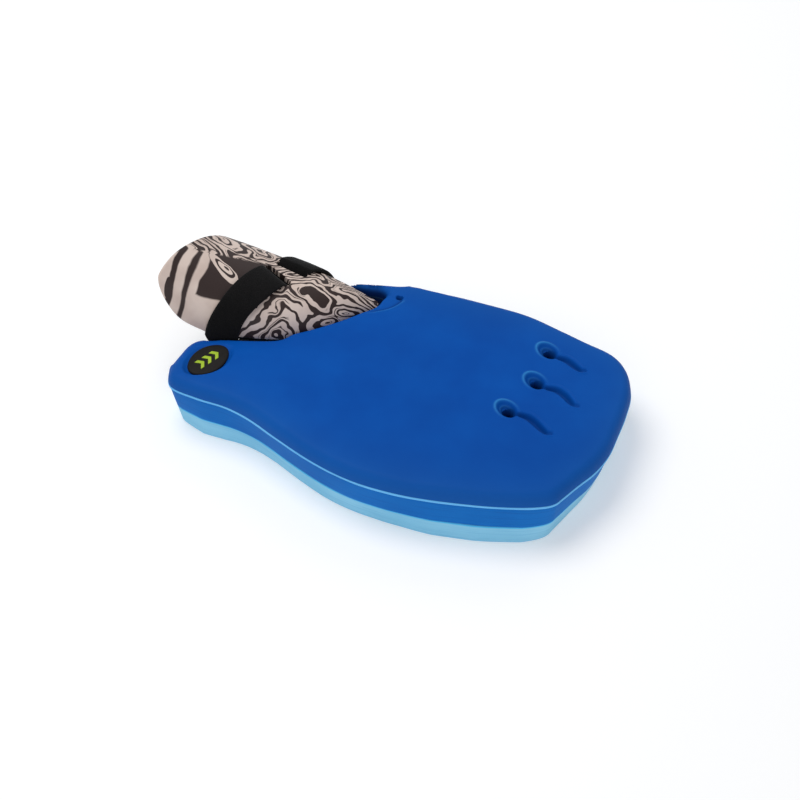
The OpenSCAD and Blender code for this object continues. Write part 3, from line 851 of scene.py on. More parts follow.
def rounded_box(low, high, radius):
    """Plan outline of a box with round corners."""
    out = []
    for x, y, start in ((high[0], high[1], 0), (low[0], high[1], 90), (low[0], low[1], 180), (high[0], low[1], 270)):
        cx = x - radius * (1 if start in (0, 270) else -1)
        cy = y - radius * (1 if start in (0, 90) else -1)
        turns = np.radians(start + np.linspace(0, 90, 5))
        out += [(cx + radius * math.cos(a), cy + radius * math.sin(a)) for a in turns]
    return out


def circle(centre_xy, radius, steps=28):
    """Plan outline of a circle."""
    return [(centre_xy[0] + radius * math.cos(a), centre_xy[1] + radius * math.sin(a))
            for a in np.arange(steps) * 2 * math.pi / steps]


def recess_cutter(low, high):
    """Room for the hand strap's end in the thumb-side wall."""
    tab_low, tab_high = corners("hand_strap_tab")
    wall = corners("hand_strap_loop_patch")[0][1]
    return prism("recess", rounded_box((tab_low[0] - 2, wall), (tab_high[0] + 2, wall + 30), 1.5), low, high)


def edge_rows(low, high, soft, step=2.2):
    """Rows of a slab wall as (z, extra inset), with small rounded edges."""
    turn = np.linspace(0, math.pi / 2, 4)
    rows = [(low + soft * (1 - math.cos(a)), soft * (1 - math.sin(a))) for a in turn]
    count = max(2, int(round((high - low - 2 * soft) / step)))
    rows += [(z, 0.0) for z in np.linspace(low + soft, high - soft, count + 1)[1:-1]]
    rows += [(high - soft * (1 - math.sin(a)), soft * (1 - math.cos(a))) for a in turn]
    return rows


def make_base():
    """Bottom slab, open in the middle for the hand and grooved for the hand strap."""
    base = slab_solid("base_foam_slab", outline, edge_rows(0.0, BASE_TOP - GLUE_GAP, 0.7), wall_inset(1), BASE)
    cut(base, prism("pocket", smooth_path(POCKET, 5), -1.0, BASE_TOP + 1))
    low, high = corners("hand_strap")
    gap = 0.3
    slot = rounded_box(low[:2] - gap, (high[0] + gap, 132), 0.5)
    cut(base, prism("slot", slot, low[2] - gap, high[2] + gap))
    cut(base, recess_cutter(5.0, BASE_TOP + 1))
    return base


def make_core():
    """Middle slab, hollowed from below up to the pocket's ceiling."""
    core = slab_solid("core_foam_slab", outline, edge_rows(BASE_TOP, CORE_TOP - GLUE_GAP, 0.6), wall_inset(2), CORE)
    cut(core, prism("pocket", smooth_path(POCKET, 5), BASE_TOP - 1, CEILING))
    cut(core, recess_cutter(BASE_TOP - 1, CORE_TOP))
    for place in FINGERS:
        cut(core, prism("bore", circle(place, BORE), CEILING - 1, CORE_TOP + 1))
    cut(core, prism("bore", circle(THUMB, BORE), CEILING - 1, CEILING + 4))
    return core


def make_stripe():
    """Thin sheet between core and face; it stands out a little from the wall."""
    def inset(loop, z):
        return rim_weight * (wobble(loop, 3, 0.12) - 0.25)
    rows = edge_rows(CORE_TOP, STRIPE_TOP - GLUE_GAP, 0.7, 0.6)
    stripe = slab_solid("stripe_foam_sheet", outline, rows, inset, STRIPE)
    for place in FINGERS:
        cut(stripe, prism("bore", circle(place, BORE), CORE_TOP - 1, STRIPE_TOP + 1))
    return stripe


# Grooves that trail away from the three finger dimples: points, in the order of FINGERS
TAILS = [
    [(122, 63.2), (126.5, 62.4), (132, 61.8), (137.4, 59.2), (142.4, 56.2), (146.6, 54.6), (151.4, 56.8)],
    [(122.5, 26.4), (128.5, 26), (135, 26), (142, 22.6), (147.4, 18), (151.6, 15.2), (157.4, 15.4)],
    [(112, -9), (117, -9.2), (123, -10.2), (129.8, -14), (136.2, -18.6), (141, -20.9), (146, -19.6)],
]
# Finger dimples: heading of the long bowl, how far its middle is shifted, its half sizes and depth; where the
# pit's wall starts and ends, out from the rivet
BOWL_HEADING, BOWL_SHIFT, BOWL_HALF, BOWL_DEPTH = -34, 1.4, (10.2, 7.4), 4.6
PIT_WALL = (3.9, 4.7)
# The crease beside the notch, the step down over it, and the small oval hole at its end
CREASE_STEP = 2.4
CREASE_HOLE, HOLE_HALF, HOLE_DEPTH = (-17.8, 87.0), (3.2, 1.9), 5.0
CREASE = [(-40, 57.5), (-33, 61.6), (-26.9, 65.8), (-23.3, 68.7), (-19.3, 73.2), (-15.9, 79.4), (-13.7, 86)]
BADGE_HEADING = 60
BADGE_TURN = Matrix.Rotation(math.radians(BADGE_HEADING), 4, "Z")
BADGE_TURN = BADGE_TURN @ Matrix.Rotation(math.radians(-6), 4, "Y") @ Matrix.Rotation(math.radians(5), 4, "X")
BADGE_AT = Vector((-136.5, -32.5, 49))
BADGE_HALF = (18.5, 13.0)
BADGE_POINTED = 0.10


def badge_reach(x, y):
    """For plan points: 1 on the badge's pointed-oval edge, less inside; and the height of the badge's plane."""
    right, up, normal = [BADGE_TURN @ Vector(way) for way in ((1, 0, 0), (0, 1, 0), (0, 0, 1))]
    dx, dy = x - BADGE_AT[0], y - BADGE_AT[1]
    z = -(normal[0] * dx + normal[1] * dy) / normal[2]
    u = (dx * right[0] + dy * right[1] + z * right[2]) / BADGE_HALF[0]
    v = (dx * up[0] + dy * up[1] + z * up[2]) / BADGE_HALF[1]
    wide = np.maximum(1 - BADGE_POINTED * np.clip(np.abs(v), 0, 1) ** 2, 0.3)
    return np.sqrt((u / wide) ** 2 + v**2), BADGE_AT[2] + z


def edge_radius():
    """Radius of the face's rounded edge at each outline point: broad on the rim, small in the notch."""
    in_notch, on_rim, beside_notch, far_wall, spread = 3.0, 7.5, 4.5, 9.0, 10
    x, y = outline.T
    radius = np.full(len(outline), in_notch)
    radius[:rim_count] = on_rim
    radius[x < -142] = on_rim
    radius[(x < 5) & (y > 60)] = np.minimum(radius[(x < 5) & (y > 60)], beside_notch)
    radius[(np.arange(len(outline)) >= rim_count) & (y > 84)] = far_wall
    return sum(np.roll(radius, k) for k in range(-spread, spread + 1)) / (2 * spread + 1)


def dimple_fields(points, place, tail):
    """Fields round one finger dimple.

    Distance from its bowl's middle (1 on its edge), how far a point is on the side away from the tail,
    distance from the pit's middle, and the tail's distance, half width, place and depth.
    """
    dx, dy = points[:, 0] - place[0], points[:, 1] - place[1]
    toward = math.radians(BOWL_HEADING)
    a = dx * math.cos(toward) + dy * math.sin(toward) + BOWL_SHIFT
    b = dy * math.cos(toward) - dx * math.sin(toward)
    reach = np.hypot(a / BOWL_HALF[0], b / BOWL_HALF[1])
    away = (1 - a / np.maximum(np.hypot(a, b), 1e-6)) / 2
    path = smooth_path([place] + tail, 6, closed=False)
    d, k, part = distance_to(points, path)
    u = (k + part) / (len(path) - 1)
    half = 1.7 + 3.2 * np.sin(math.pi * np.clip((u - 0.10) / 0.92, 0, 1)) ** 0.9 * (1 - 0.5 * u)
    depth = 3.0 * smoothstep(0.05, 0.30, u) * (1 - smoothstep(0.66, 0.95, u))
    depth += 1.5 * (1 - smoothstep(0.95, 1.0, u))
    return reach, away, np.hypot(dx, dy), d, half, u, depth


def crease_fields(points):
    """Distance from the crease, which side of it, and how marked it is there; and the hole's distance."""
    crease = smooth_path(CREASE, 6, closed=False)
    d, k, part = distance_to(points, crease)
    run = np.diff(crease, axis=0)[k]
    gap = points - crease[k]
    side = np.sign(run[:, 0] * gap[:, 1] - run[:, 1] * gap[:, 0])
    u = (k + part) / (len(crease) - 1)
    fade = smoothstep(0.0, 0.35, u) * (1 - smoothstep(0.93, 1.0, u))
    hole = np.linalg.norm((points - CREASE_HOLE) / HOLE_HALF, axis=1)
    return d, side, fade, hole


# How much lower the face is at its rim than in its middle
RIM_DROP = 2.6


def face_height(points):
    """Height of the face's top over plan points."""
    x, y = points[:, 0], points[:, 1]
    d_rim, _, _ = distance_to(points, rim)
    d_notch, _, _ = distance_to(points, notch)
    d_edge, k, _ = distance_to(points, outline, True)
    notch_drop = 3.5 * (1 - smoothstep(25, 60, y))
    top = CROWN - RIM_DROP + 2.4 * (1 - np.exp(-d_rim / 26)) - notch_drop * np.exp(-d_notch / 13)
    top += 0.28 * np.sin(x / 23 + 1) * np.sin(y / 19 + 2) + 0.16 * np.sin(x / 11 + y / 17)
    z = STRIPE_TOP + (top - STRIPE_TOP) * rounded(d_edge / edge_radius()[k], 2.1)

    # Finger dimples: a long bowl with a raised lip away from the tail, a ledge inside it, and the pit
    for place, tail in zip(FINGERS, TAILS):
        reach, away, r, d, half, u, depth = dimple_fields(points, place, tail)
        z += 1.2 * away**1.5 * bell(reach - 1.1, 0.17)
        z -= BOWL_DEPTH * (1 - smoothstep(0.45, 1.02, reach)) * (1 - 0.25 * away)
        z += 1.1 * away * bell(reach - 0.6, 0.10)
        groove = 1 - smoothstep(0.15, 1.0, d / half)
        z -= np.where(r > 6, depth, depth * (r / 6) ** 2) * groove
        ridge = smoothstep(0.2, 0.5, u) * (1 - smoothstep(0.9, 1, u)) * (r > 12)
        z += 0.5 * ridge * bell(d - half - 0.8, 0.9)
        pit = smoothstep(*PIT_WALL, r)
        z = z * pit + (STRIPE_TOP + 0.25) * (1 - pit)

    # Ledge beside the notch's inner end: the notch side of the crease lies lower
    d, side, fade, hole = crease_fields(points)
    fade = fade * smoothstep(2, 9, d_rim)
    z -= CREASE_STEP * fade * smoothstep(-0.9, 0.9, side * d) * np.exp(-d / 11) * rounded(d_notch / 4, 2.0)
    z += 0.5 * fade * bell(side * d + 1.5, 1.0)
    z -= HOLE_DEPTH * (1 - smoothstep(0.6, 1.15, hole))

    # Pocket under the badge, with a soft shoulder
    reach, plane = badge_reach(x, y)
    blend_in = smoothstep(1.02, 1.32, reach)
    z = np.where(reach < 1.4, z * blend_in + (plane - 0.05) * (1 - blend_in), z)
    return np.maximum(z, STRIPE_TOP)


def painted_light_marks(places):
    """For the face's material: painted highlight on lips and the crease's edge, painted shade in bowls, pits, grooves,
    the crease, the hole and the notch end, and painted sheen near the rim.
    """
    points = places[:, :2]
    painted_highlight, painted_shade = np.zeros(len(points)), np.zeros(len(points))
    for place, tail in zip(FINGERS, TAILS):
        reach, away, r, d, half, _, depth = dimple_fields(points, place, tail)
        # Painted highlight on each dimple's lip, and a fainter painted reflection on the ledge inside the bowl
        painted_highlight = np.maximum(painted_highlight, away**1.5 * bell(reach - 1.12, 0.12))
        painted_highlight = np.maximum(painted_highlight, 0.35 * away * bell(reach - 0.62, 0.07))
        # Painted shade in the bowl, the pit and the tail's groove
        bowl = (1 - smoothstep(0.5, 1.0, reach)) * (0.75 - 0.35 * away)
        pit = 1 - smoothstep(3.8, 5.0, r)
        groove = 0.42 * np.minimum(depth / 3, 1) * (1 - smoothstep(0.3, 1.0, d / half)) * smoothstep(4, 8, r)
        painted_shade = np.maximum.reduce([painted_shade, bowl, 0.95 * pit, groove])
    d, side, fade, hole = crease_fields(points)
    # Painted highlight along the crease's outer edge, painted shade on its notch side and in the small hole
    painted_highlight = np.maximum(painted_highlight, 0.5 * fade * bell(side * d + 1.1, 0.8))
    painted_shade = np.maximum(painted_shade, 0.42 * fade * (side > 0) * bell(d - 1.2, 1.6))
    painted_shade = np.maximum(painted_shade, 0.7 * (1 - smoothstep(0.5, 1.1, hole)))
    d_notch, _, _ = distance_to(points, notch)
    d_rim, _, _ = distance_to(points, rim)
    # Painted shade on the low wall at the notch's inner end
    low = 1 - smoothstep(0.35, 0.85, (places[:, 2] - STRIPE_TOP) / (CROWN - RIM_DROP - STRIPE_TOP))
    painted_shade = np.maximum(painted_shade, 0.95 * low * (1 - smoothstep(6, 10, d_notch)) * smoothstep(55, 66, points[:, 1]))
    # Third share: painted sheen near the rim
    return np.column_stack([painted_highlight, painted_shade, np.exp(-d_rim / 14)])


def feature_spots():
    """Regions of the face that need a finer mesh."""
    fine = 0.8 / DETAIL
    spots = []
    for place, tail in zip(FINGERS, TAILS):
        end = tail[-1]
        around = [
            (place, -18, -4), (place, -4, -13), (end, -10, -8), (end, 5, -5),
            (end, 5, 5), (place, 20, 7), (place, 6, 12), (place, -16, 17),
        ]
        spots.append((np.array([(at[0] + dx, at[1] + dy) for at, dx, dy in around]), fine))
    spots.append((np.array([(-45, 50), (-30, 55), (-15, 72), (-11, 92), (-16, 99), (-30, 98), (-33, 76)], float), fine))
    u = np.arange(24) * math.pi / 12
    c, s = math.cos(math.radians(BADGE_HEADING)), math.sin(math.radians(BADGE_HEADING))
    ex, ey = 25 * np.cos(u), 18 * np.sin(u)
    spots.append((np.column_stack([BADGE_AT[0] + ex * c - ey * s, BADGE_AT[1] + ex * s + ey * c]), fine))
    return spots


def make_face():
    """Top slab. Rings of points close to its edge carry the rounding."""
    rings = [0.12, 0.45, 1.0, 1.9, 3.0]
    face = sheet_solid(
        "face_foam_slab", outline, rings, 2.2 / DETAIL, face_height, STRIPE_TOP, SKIN, feature_spots()
    )
    # The marks attribute carries painted highlight, painted shade and painted sheen for the face's material
    store_vectors(face, "marks", painted_light_marks(points_of(face)) / MM)
    return face


# ---- palm lining
# Spacing of the seams that quilt the padding
QUILT = 26


def lining_height(loop):
    """Height of the padding's underside: quilted, and pressed in round each rivet."""
    def height(points):
        d, _, _ = distance_to(points, loop, True)
        drop = (CEILING - LINING_LOW) * rounded(d / 6, 2.0)
        channel = np.abs((points[:, :2] + 60) % QUILT - QUILT / 2).min(1)
        drop *= 1 - 0.45 * bell(channel, 1.6)
        for place in PLACES.values():
            r = np.hypot(points[:, 0] - place[0], points[:, 1] - place[1])
            drop *= 1 - 0.25 * bell(r, 7)
        return CEILING - np.maximum(drop, 0.02)
    return height


def make_lining():
    loop = even_path(boundary_loops("palm_lining", CEILING)[0], 2.0)
    return sheet_solid(
        "palm_lining_pad", loop, [0.5, 1.4, 2.8], 2.6 / DETAIL, lining_height(loop), CEILING - 0.01, LINING
    )


# ---- badge
def on_badge(points):
    return [tuple(BADGE_TURN @ Vector(p) + BADGE_AT) for p in points]


def make_badge():
    """Lens of rubber, a slightly pointed oval in plan. The profile is (share of its reach, height)."""
    profile = [(0.5, 1.9), (0.8, 1.78), (0.93, 1.62), (0.985, 1.3), (1.0, 0.9), (1.0, 0.12), (0.97, 0.0)]
    turn = np.arange(96) * 2 * math.pi / 96
    across = BADGE_HALF[0] * np.cos(turn) * (1 - BADGE_POINTED * np.sin(turn) ** 2)
    up = BADGE_HALF[1] * np.sin(turn)
    rings = [on_badge(np.column_stack([share * across, share * up, np.full(96, z)])) for share, z in profile]
    top, foot = on_badge([(0, 0, 1.95), (0, 0, 0)])
    return fanned("badge_lens", top, rings, foot, BADGE, 50)


def chevron(at_x):
    """One raised chevron on the badge, with softened top edges."""
    outer = np.array([(-3.2, -4.4), (0.1, -4.4), (3.4, 0), (0.1, 4.4), (-3.2, 4.4), (0.1, 0)])
    loop = even_path(outer, 0.5)
    rings = []
    for shrink, lift in [(0.0, -0.3), (0.0, 0.32), (0.12, 0.45), (0.3, 0.5)]:
        ring = loop + inward_normals(loop, 1) * shrink + (at_x, 0)
        dome = 1.9 - 0.25 * ((ring / BADGE_HALF) ** 2).sum(1)
        rings.append(on_badge(np.column_stack([ring, dome + lift])))
    return sweep("chevron", rings, EMBLEM, sharp_deg=50)


# ---- wrist guard surface, as in the CAD
TIP = np.array([-37.0, 78.5, 31.0])
YAW, PITCH = math.radians(196), math.radians(9)
AXIS = np.array([math.cos(YAW) * math.cos(PITCH), math.sin(YAW) * math.cos(PITCH), math.sin(PITCH)])
SIDE = np.array([math.sin(YAW), -math.cos(YAW), 0.0])
UP = np.cross(SIDE, AXIS)
STEP = 30
NEAR_HALF = [4, 26, 40.5, 47.5, 50, 50, 50]
FAR_HALF = [13, 19, 32, 44, 50.5, 52, 52]
CROWN_RISE = [14, 27.5, 31.5, 32.5, 37.5, 45, 55]
GUARD_LEN = 177.5
# Past t = 1 the sheet goes straight down, this many millimetres for each unit of t, fully from SKIRT_RUN on
SKIRT_RATE = 50
SKIRT_RUN = 50
ARCH_POWER = 2.2


def station(values, s):
    """Catmull-Rom value of a list of stations at distance s along the guard."""
    values = np.asarray(values, float)
    n = len(values) - 1
    wide = np.r_[2 * values[0] - values[1], values, 2 * values[n] - values[n - 1]]
    i = np.clip(np.floor(np.asarray(s, float) / STEP).astype(int), 0, n - 1)
    return catmull(wide[i], wide[i + 1], wide[i + 2], wide[i + 3], np.asarray(s, float) / STEP - i)


def guard_point(s, t, off=0.0):
    """Point on the guard: s along it, t across it from -1 to 1, off outwards. Works on arrays."""
    s, t, off = np.broadcast_arrays(np.asarray(s, float), np.asarray(t, float), np.asarray(off, float))
    half = np.where(t < 0, station(NEAR_HALF, s), station(FAR_HALF, s))
    below = np.maximum(np.abs(t) - 1, 0) * SKIRT_RATE * np.clip(s / SKIRT_RUN, 0, 1)
    t = np.clip(t, -1, 1)
    arch = np.sqrt(np.maximum(0, 1 - np.abs(t) ** ARCH_POWER))
    return (
        TIP + s[..., None] * AXIS + (t * (half + off))[..., None] * SIDE
        + ((station(CROWN_RISE, s) + off) * arch - below)[..., None] * UP
    )


def round_drop(a):
    """Drop of a quarter circle: 0 at a = 0, 1 at a = 1."""
    return 1 - np.sqrt(np.maximum(0, 1 - a * a))


def guard_end(t):
    """How far the guard reaches at t: a round corner on the near side, a long slant to the far side."""
    corner = -0.7
    turn = np.clip((corner - t) / (1 + corner), 0, 1)
    near = GUARD_LEN - 32 * round_drop(turn) - 12 * turn**40
    part = np.clip((t - corner) / (1 - corner), 0, 1)
    far = GUARD_LEN - 45 * part**1.08 - 14 * round_drop(part)
    return np.where(t < corner, near, far)


def guard_sheet(name, outer, inner, start, end_gap, material, rows, cols, skirt=0.0):
    """Closed sheet between two offsets of the guard surface, with a rounded rim all the way round."""
    t = -np.cos(np.linspace(0, math.pi, cols + 1))
    if skirt:
        t = np.r_[-1 - skirt * np.array([1.0, 0.75, 0.5, 0.25]), t]
        cols += 4
    part = np.linspace(0, 1, rows + 1)
    s = start + (guard_end(t)[None] - end_gap - start) * part[:, None]
    t = np.broadcast_to(t, s.shape)
    thick = outer - inner
    soft = 0.26 * thick
    skirt_flare = 2.6

    def layer(off):
        flare = skirt_flare * smoothstep(1 + 0.1 * skirt, 1 + 0.5 * skirt, -t) if skirt else 0.0
        return guard_point(s, t, off + flare)

    def pulled(grid, amount):
        """The grid's outermost points, moved inwards along the sheet."""
        moved = grid.copy()
        shift = np.zeros_like(grid)
        for edge, beside in ((0, 1), (-1, -2)):
            for a, b in ((np.s_[edge, :], np.s_[beside, :]), (np.s_[:, edge], np.s_[:, beside])):
                way = grid[b] - grid[a]
                shift[a] += way / np.linalg.norm(way, axis=-1, keepdims=True)
        size = np.linalg.norm(shift, axis=-1, keepdims=True)
        return moved + np.where(size > 0, shift / np.maximum(size, 1e-9), 0) * amount

    # The rim: rings of points round the sheet's edge, from the outer layer over to the inner one
    n, k = rows + 1, cols + 1
    ring = [(0, j) for j in range(k)] + [(i, k - 1) for i in range(1, n)]
    ring += [(n - 1, j) for j in range(k - 2, -1, -1)] + [(i, 0) for i in range(n - 2, 0, -1)]
    steps = [(outer, soft)]
    steps += [(outer - soft * (1 - math.cos(a)), soft * (1 - math.sin(a))) for a in (0.5, 1.1, math.pi / 2)]
    steps += [(inner + soft * (1 - math.cos(a)), soft * (1 - math.sin(a))) for a in (math.pi / 2, 1.1, 0.5)]
    steps += [(inner, soft)]
    top = pulled(layer(outer), soft)
    low = pulled(layer(inner), soft)
    points = [top.reshape(-1, 3), low.reshape(-1, 3)]
    total = n * k
    faces = []
    for base, turned_over in ((0, False), (total, True)):
        for i in range(n - 1):
            for j in range(k - 1):
                quad = (base + i * k + j, base + i * k + j + 1, base + (i + 1) * k + j + 1, base + (i + 1) * k + j)
                faces.append(tuple(reversed(quad)) if turned_over else quad)
    m = len(ring)
    names = [[i * k + j for i, j in ring]]
    for row, (off, amount) in enumerate(steps[1:-1]):
        grid = pulled(layer(off), amount)
        points.append(np.array([grid[i, j] for i, j in ring]))
        names.append([2 * total + row * m + q for q in range(m)])
    names.append([total + i * k + j for i, j in ring])
    for a, b in zip(names, names[1:]):
        faces += [(a[q], a[(q + 1) % m], b[(q + 1) % m], b[q]) for q in range(m)]
    return make_object(name, np.vstack(points), faces, material, 60)


def mark_sheet(piece):
    """Stores where each point lies along and across the guard, for the marbling."""
    gap = points_of(piece) - TIP
    w, h = gap @ SIDE, gap @ UP
    across = 48 * np.arctan2(w, np.maximum(h, 0) + 8)
    store_vectors(piece, "sheet_xy", np.column_stack([gap @ AXIS, across, 0 * across]))


# Ends of the two strap slits, as (s, t)
SLITS = [((94.5, 0.105), (73.5, -0.245)), ((87, 0.33), (61, 0.09))]


def slit_cutter(ends, width):
    """Stadium-shaped cutter through the sheet along a slit, square to the surface."""
    a, b = np.array(ends[0]), np.array(ends[1])
    middle = (a + b) / 2
    p, q = guard_point(*a), guard_point(*b)
    along = (q - p) / np.linalg.norm(q - p)
    outward = guard_point(*middle, 1.0) - guard_point(*middle, 0.0)
    outward -= along * (outward @ along)
    outward /= np.linalg.norm(outward)
    across = np.cross(outward, along)
    half, r = np.linalg.norm(q - p) / 2 + 0.5, width / 2
    loop = [(half - r + r * math.cos(u), r * math.sin(u)) for u in np.linspace(-math.pi / 2, math.pi / 2, 9)]
    loop += [(-half + r - r * math.cos(u), r * math.sin(u)) for u in np.linspace(math.pi / 2, -math.pi / 2, 9)]
    origin = guard_point(*middle)
    rings = [[origin + along * x + across * y + outward * h for x, y in loop] for h in (-14, 8)]
    return sweep("slit", rings, LINER)


def make_guard():
    """The marbled shell and the thinner liner inside it, both slit for the strap."""
    rows, cols = int(96 * DETAIL), int(84 * DETAIL)
    shell = guard_sheet("wrist_guard_foam", 0.0, -5.0, -1.2, 0.0, MARBLE, rows, cols)
    # The liner's skirt hangs past the shell's near rim: partly the real liner, partly a dark sheet standing in for the
    # shade in the gap between guard and board
    liner = guard_sheet("wrist_guard_lining", -5.15, -7.0, 3.0, 0.6, LINER, rows // 2, cols // 2, 0.09)
    for ends in SLITS:
        cut(shell, slit_cutter(ends, 6.4))
        cut(liner, slit_cutter(ends, 7.0))
    shade(shell, 60)
    shade(liner, 60)
    mark_sheet(shell)
    return shell, liner


# ---- wrist strap
STRAP_W = 27.0
STRAP_T = 2.4
STRAP_OFF = 1.6
# Offset of the strap's middle layer from the shell's outside, against t
STRAP_PROFILE = [
    (-1.0, 1.6), (-0.9, 1.8), (-0.6, 2.8), (-0.35, 3.3), (-0.2, 2.8), (-0.13, 1.2),
    (-0.07, -4.4), (-0.015, -9.6), (0.08, -9.9), (0.17, -9.6), (0.222, -4.4), (0.285, 1.4),
    (0.36, 2.3), (0.5, 2.5), (0.65, 2.3), (0.8, 2.0), (0.92, 1.7), (1.0, 1.6),
]
# How much the strap runs slantwise, and its share of its full width, against t
STRAP_TILTS = [(-1, 0.0066), (-0.8, 0.011), (-0.5, 0.013), (-0.07, 0.017), (0.2, 0.0096), (1, 0.0066)]
STRAP_NARROWS = [(-1, 1), (-0.8, 0.9), (-0.5, 0.87), (-0.07, 0.76), (0.2, 1)]


def strap_s(t):
    """How far along the guard the strap's middle line is at t."""
    return np.where(
        t < -0.07, 84 + 37 * np.maximum(0, (-0.07 - t) / 0.93) ** 0.9,
        np.where(t < 0.2, 84 - 10 * (t + 0.07) / 0.27, 74 - 27 * (t - 0.2) / 0.8)
    )


def soft_lookup(table, t):
    """Smoothly eased value of a table at t."""
    table = np.asarray(table, float)
    i = int(np.clip(np.searchsorted(table[:, 0], t) - 1, 0, len(table) - 2))
    u = (t - table[i, 0]) / (table[i + 1, 0] - table[i, 0])
    before = table[max(i - 1, 0), 1]
    after = table[min(i + 2, len(table) - 1), 1]
    return float(catmull(before, table[i, 1], table[i + 1, 1], after, u))


def over_point(t, across, through):
    """Point on the strap's run over the guard and through its slits."""
    tilt = np.interp(t, *zip(*STRAP_TILTS))
    across = across * np.interp(t, *zip(*STRAP_NARROWS))
    u = np.clip(t + across * tilt * (1 - t * t), -1, 1)
    return guard_point(strap_s(t) + across, u, soft_lookup(STRAP_PROFILE, t) + through)


def under_point(turn, across, off):
    """Point on the strap's loop under the wrist; turn runs from 0 at the near rim to 180 at the far rim."""
    s = strap_s(-1.0) + (strap_s(1.0) - strap_s(-1.0)) * turn / 180 + across
    half = (station(NEAR_HALF, s) if turn < 90 else station(FAR_HALF, s)) + off
    u = math.radians(turn)
    return TIP + s * AXIS - half * math.cos(u) * SIDE - (30 + off) * max(math.sin(u), 0.0) ** 0.8 * UP


def make_wrist_strap():
    """One closed band: over the guard and through its slits, then back under the wrist."""
    ring = band_ring(STRAP_W, STRAP_T, 4)
    crowned = [(x, h * (1 + 0.16 * (1 - (2 * x / STRAP_W) ** 2))) for x, h in ring]
    over = -np.cos(np.linspace(0, math.pi, int(220 * DETAIL)))
    over = np.sort(np.r_[over, np.linspace(-0.14, 0.32, int(60 * DETAIL))])
    under = np.linspace(180, 0, int(120 * DETAIL))[1:-1]
    rings = [[over_point(t, x, h) for x, h in crowned] for t in over]
    rings += [[under_point(turn, x, STRAP_OFF + h) for x, h in crowned] for turn in under]
    return sweep("wrist_strap_band", rings, PILE, closed=True)


def under_band(name, offset, width, thick, span, material, corners=3):
    """Patch or tab on the strap's loop under the wrist, over a span of its turn."""
    ring = band_ring(width, thick, corners)
    turns = np.linspace(*span, int(36 * DETAIL))
    return sweep(name, [[under_point(turn, x, offset + h) for x, h in ring] for turn in turns], material)


# ---- hand strap, hinge strip
def band_along(name, path, across, width, thick, material):
    """Band swept along a path in a plane square to across."""
    path = np.asarray(path, float)
    across = np.asarray(across, float)
    forward = np.gradient(path, axis=0)
    forward /= np.linalg.norm(forward, axis=1)[:, None]
    out = np.cross(across, forward)
    ring = band_ring(width, thick, 3)
    rings = [[p + across * x + o * h for x, h in ring] for p, o in zip(path, out)]
    made = sweep(name, rings, material)
    band_marks(made, run_lengths(path), ring)
    return made


def make_hand_strap():
    """Across the back of the hand with a little sag, then up the thumb-side wall."""
    (low_x, start, low_z), (high_x, _, high_z) = corners("hand_strap")
    tab_low, tab_high = corners("hand_strap_tab")
    x, z, wall = (low_x + high_x) / 2, (low_z + high_z) / 2, (tab_low[1] + tab_high[1]) / 2
    bend, sag = 1.5, 0.9
    path = []
    for y in np.arange(start, wall - bend, 1.6):
        path.append((x, y, z - sag * math.sin(math.pi * np.clip((y + 36) / 128, 0, 1))))
    for a in np.linspace(0.15, math.pi / 2, 7):
        path.append((x, wall - bend + bend * math.sin(a), z + bend - bend * math.cos(a)))
    path += [(x, wall, q) for q in np.arange(z + bend + 1.2, tab_high[2], 1.2)]
    return band_along("hand_strap_band", path, (1, 0, 0), high_x - low_x, 1.8, WEBBING)


def make_hinge_strip():
    """Tongue of webbing from under the palm lining, past the guard's tip and up against the inside of its crown."""
    board_end, low = TIP - AXIS * 22, LINING_LOW - 1.3
    control = [
        (board_end[0], board_end[1] + 1, low), (TIP[0] + 13, TIP[1] + 4.7, low), (TIP[0] + 4, TIP[1] + 2, low)
    ]
    for s, rise in ((6, -2.3), (12, -2.2), (16.5, 1.2), (20.5, 7.0), (26, 11.8), (32, 14.0)):
        control.append(tuple(TIP + AXIS * s + UP * rise))
    path = even_path(smooth_path(control, 10, closed=False), 1.0, closed=False)
    across = np.cross(AXIS * np.array([1, 1, 0]), (0, 0, 1))
    across /= np.linalg.norm(across)
    return band_along("guard_hinge_webbing", path, across, 15.5, 1.6, WEBBING)


# ---- elastic loops and rivets
LOOP_W, LOOP_SPAN, LOOP_RISE, LOOP_T = 18.0, 30.0, 19.0, 1.6
LOOP_TOP = level("index_finger_loop", 1)


def make_loop(name, place, turn):
    """Elastic D: flat under its rivet, round below, slightly waisted by the pull of the band."""
    a, b = LOOP_SPAN / 2 - LOOP_T / 2, LOOP_RISE / 2 - LOOP_T / 2
    path, spacing = [], 0.9
    for u in np.linspace(0, 2 * math.pi, 241)[:-1]:
        c, s = math.cos(u), math.sin(u)
        c_power, s_power = (0.48, 0.40) if s > 0 else (0.78, 0.78)
        path.append((a * math.copysign(abs(c) ** c_power, c), b * math.copysign(abs(s) ** s_power, s)))
    path = even_path(np.array(path), spacing)
    forward = np.roll(path, -1, 0) - np.roll(path, 1, 0)
    forward /= np.linalg.norm(forward, axis=1)[:, None]
    out = np.column_stack([forward[:, 1], -forward[:, 0]])
    ring = band_ring(LOOP_W, LOOP_T, 3)
    c, s = math.cos(math.radians(turn)), math.sin(math.radians(turn))
    rings = []
    for p, o in zip(path, out):
        pull = 1 - 0.07 * (1 - min(1.0, abs(p[0]) / a)) * (1 if p[1] < 0 else 0)
        row = []
        for across, h in ring:
            x, y = across * pull, p[0] + o[0] * h
            z = LOOP_TOP - LOOP_RISE / 2 + p[1] + o[1] * h
            row.append((place[0] + x * c - y * s, place[1] + x * s + y * c, z))
        rings.append(row)
    band = sweep(name + "_elastic", rings, ELASTIC, closed=True)
    band_marks(band, np.arange(len(path)) * spacing, ring)
    return band


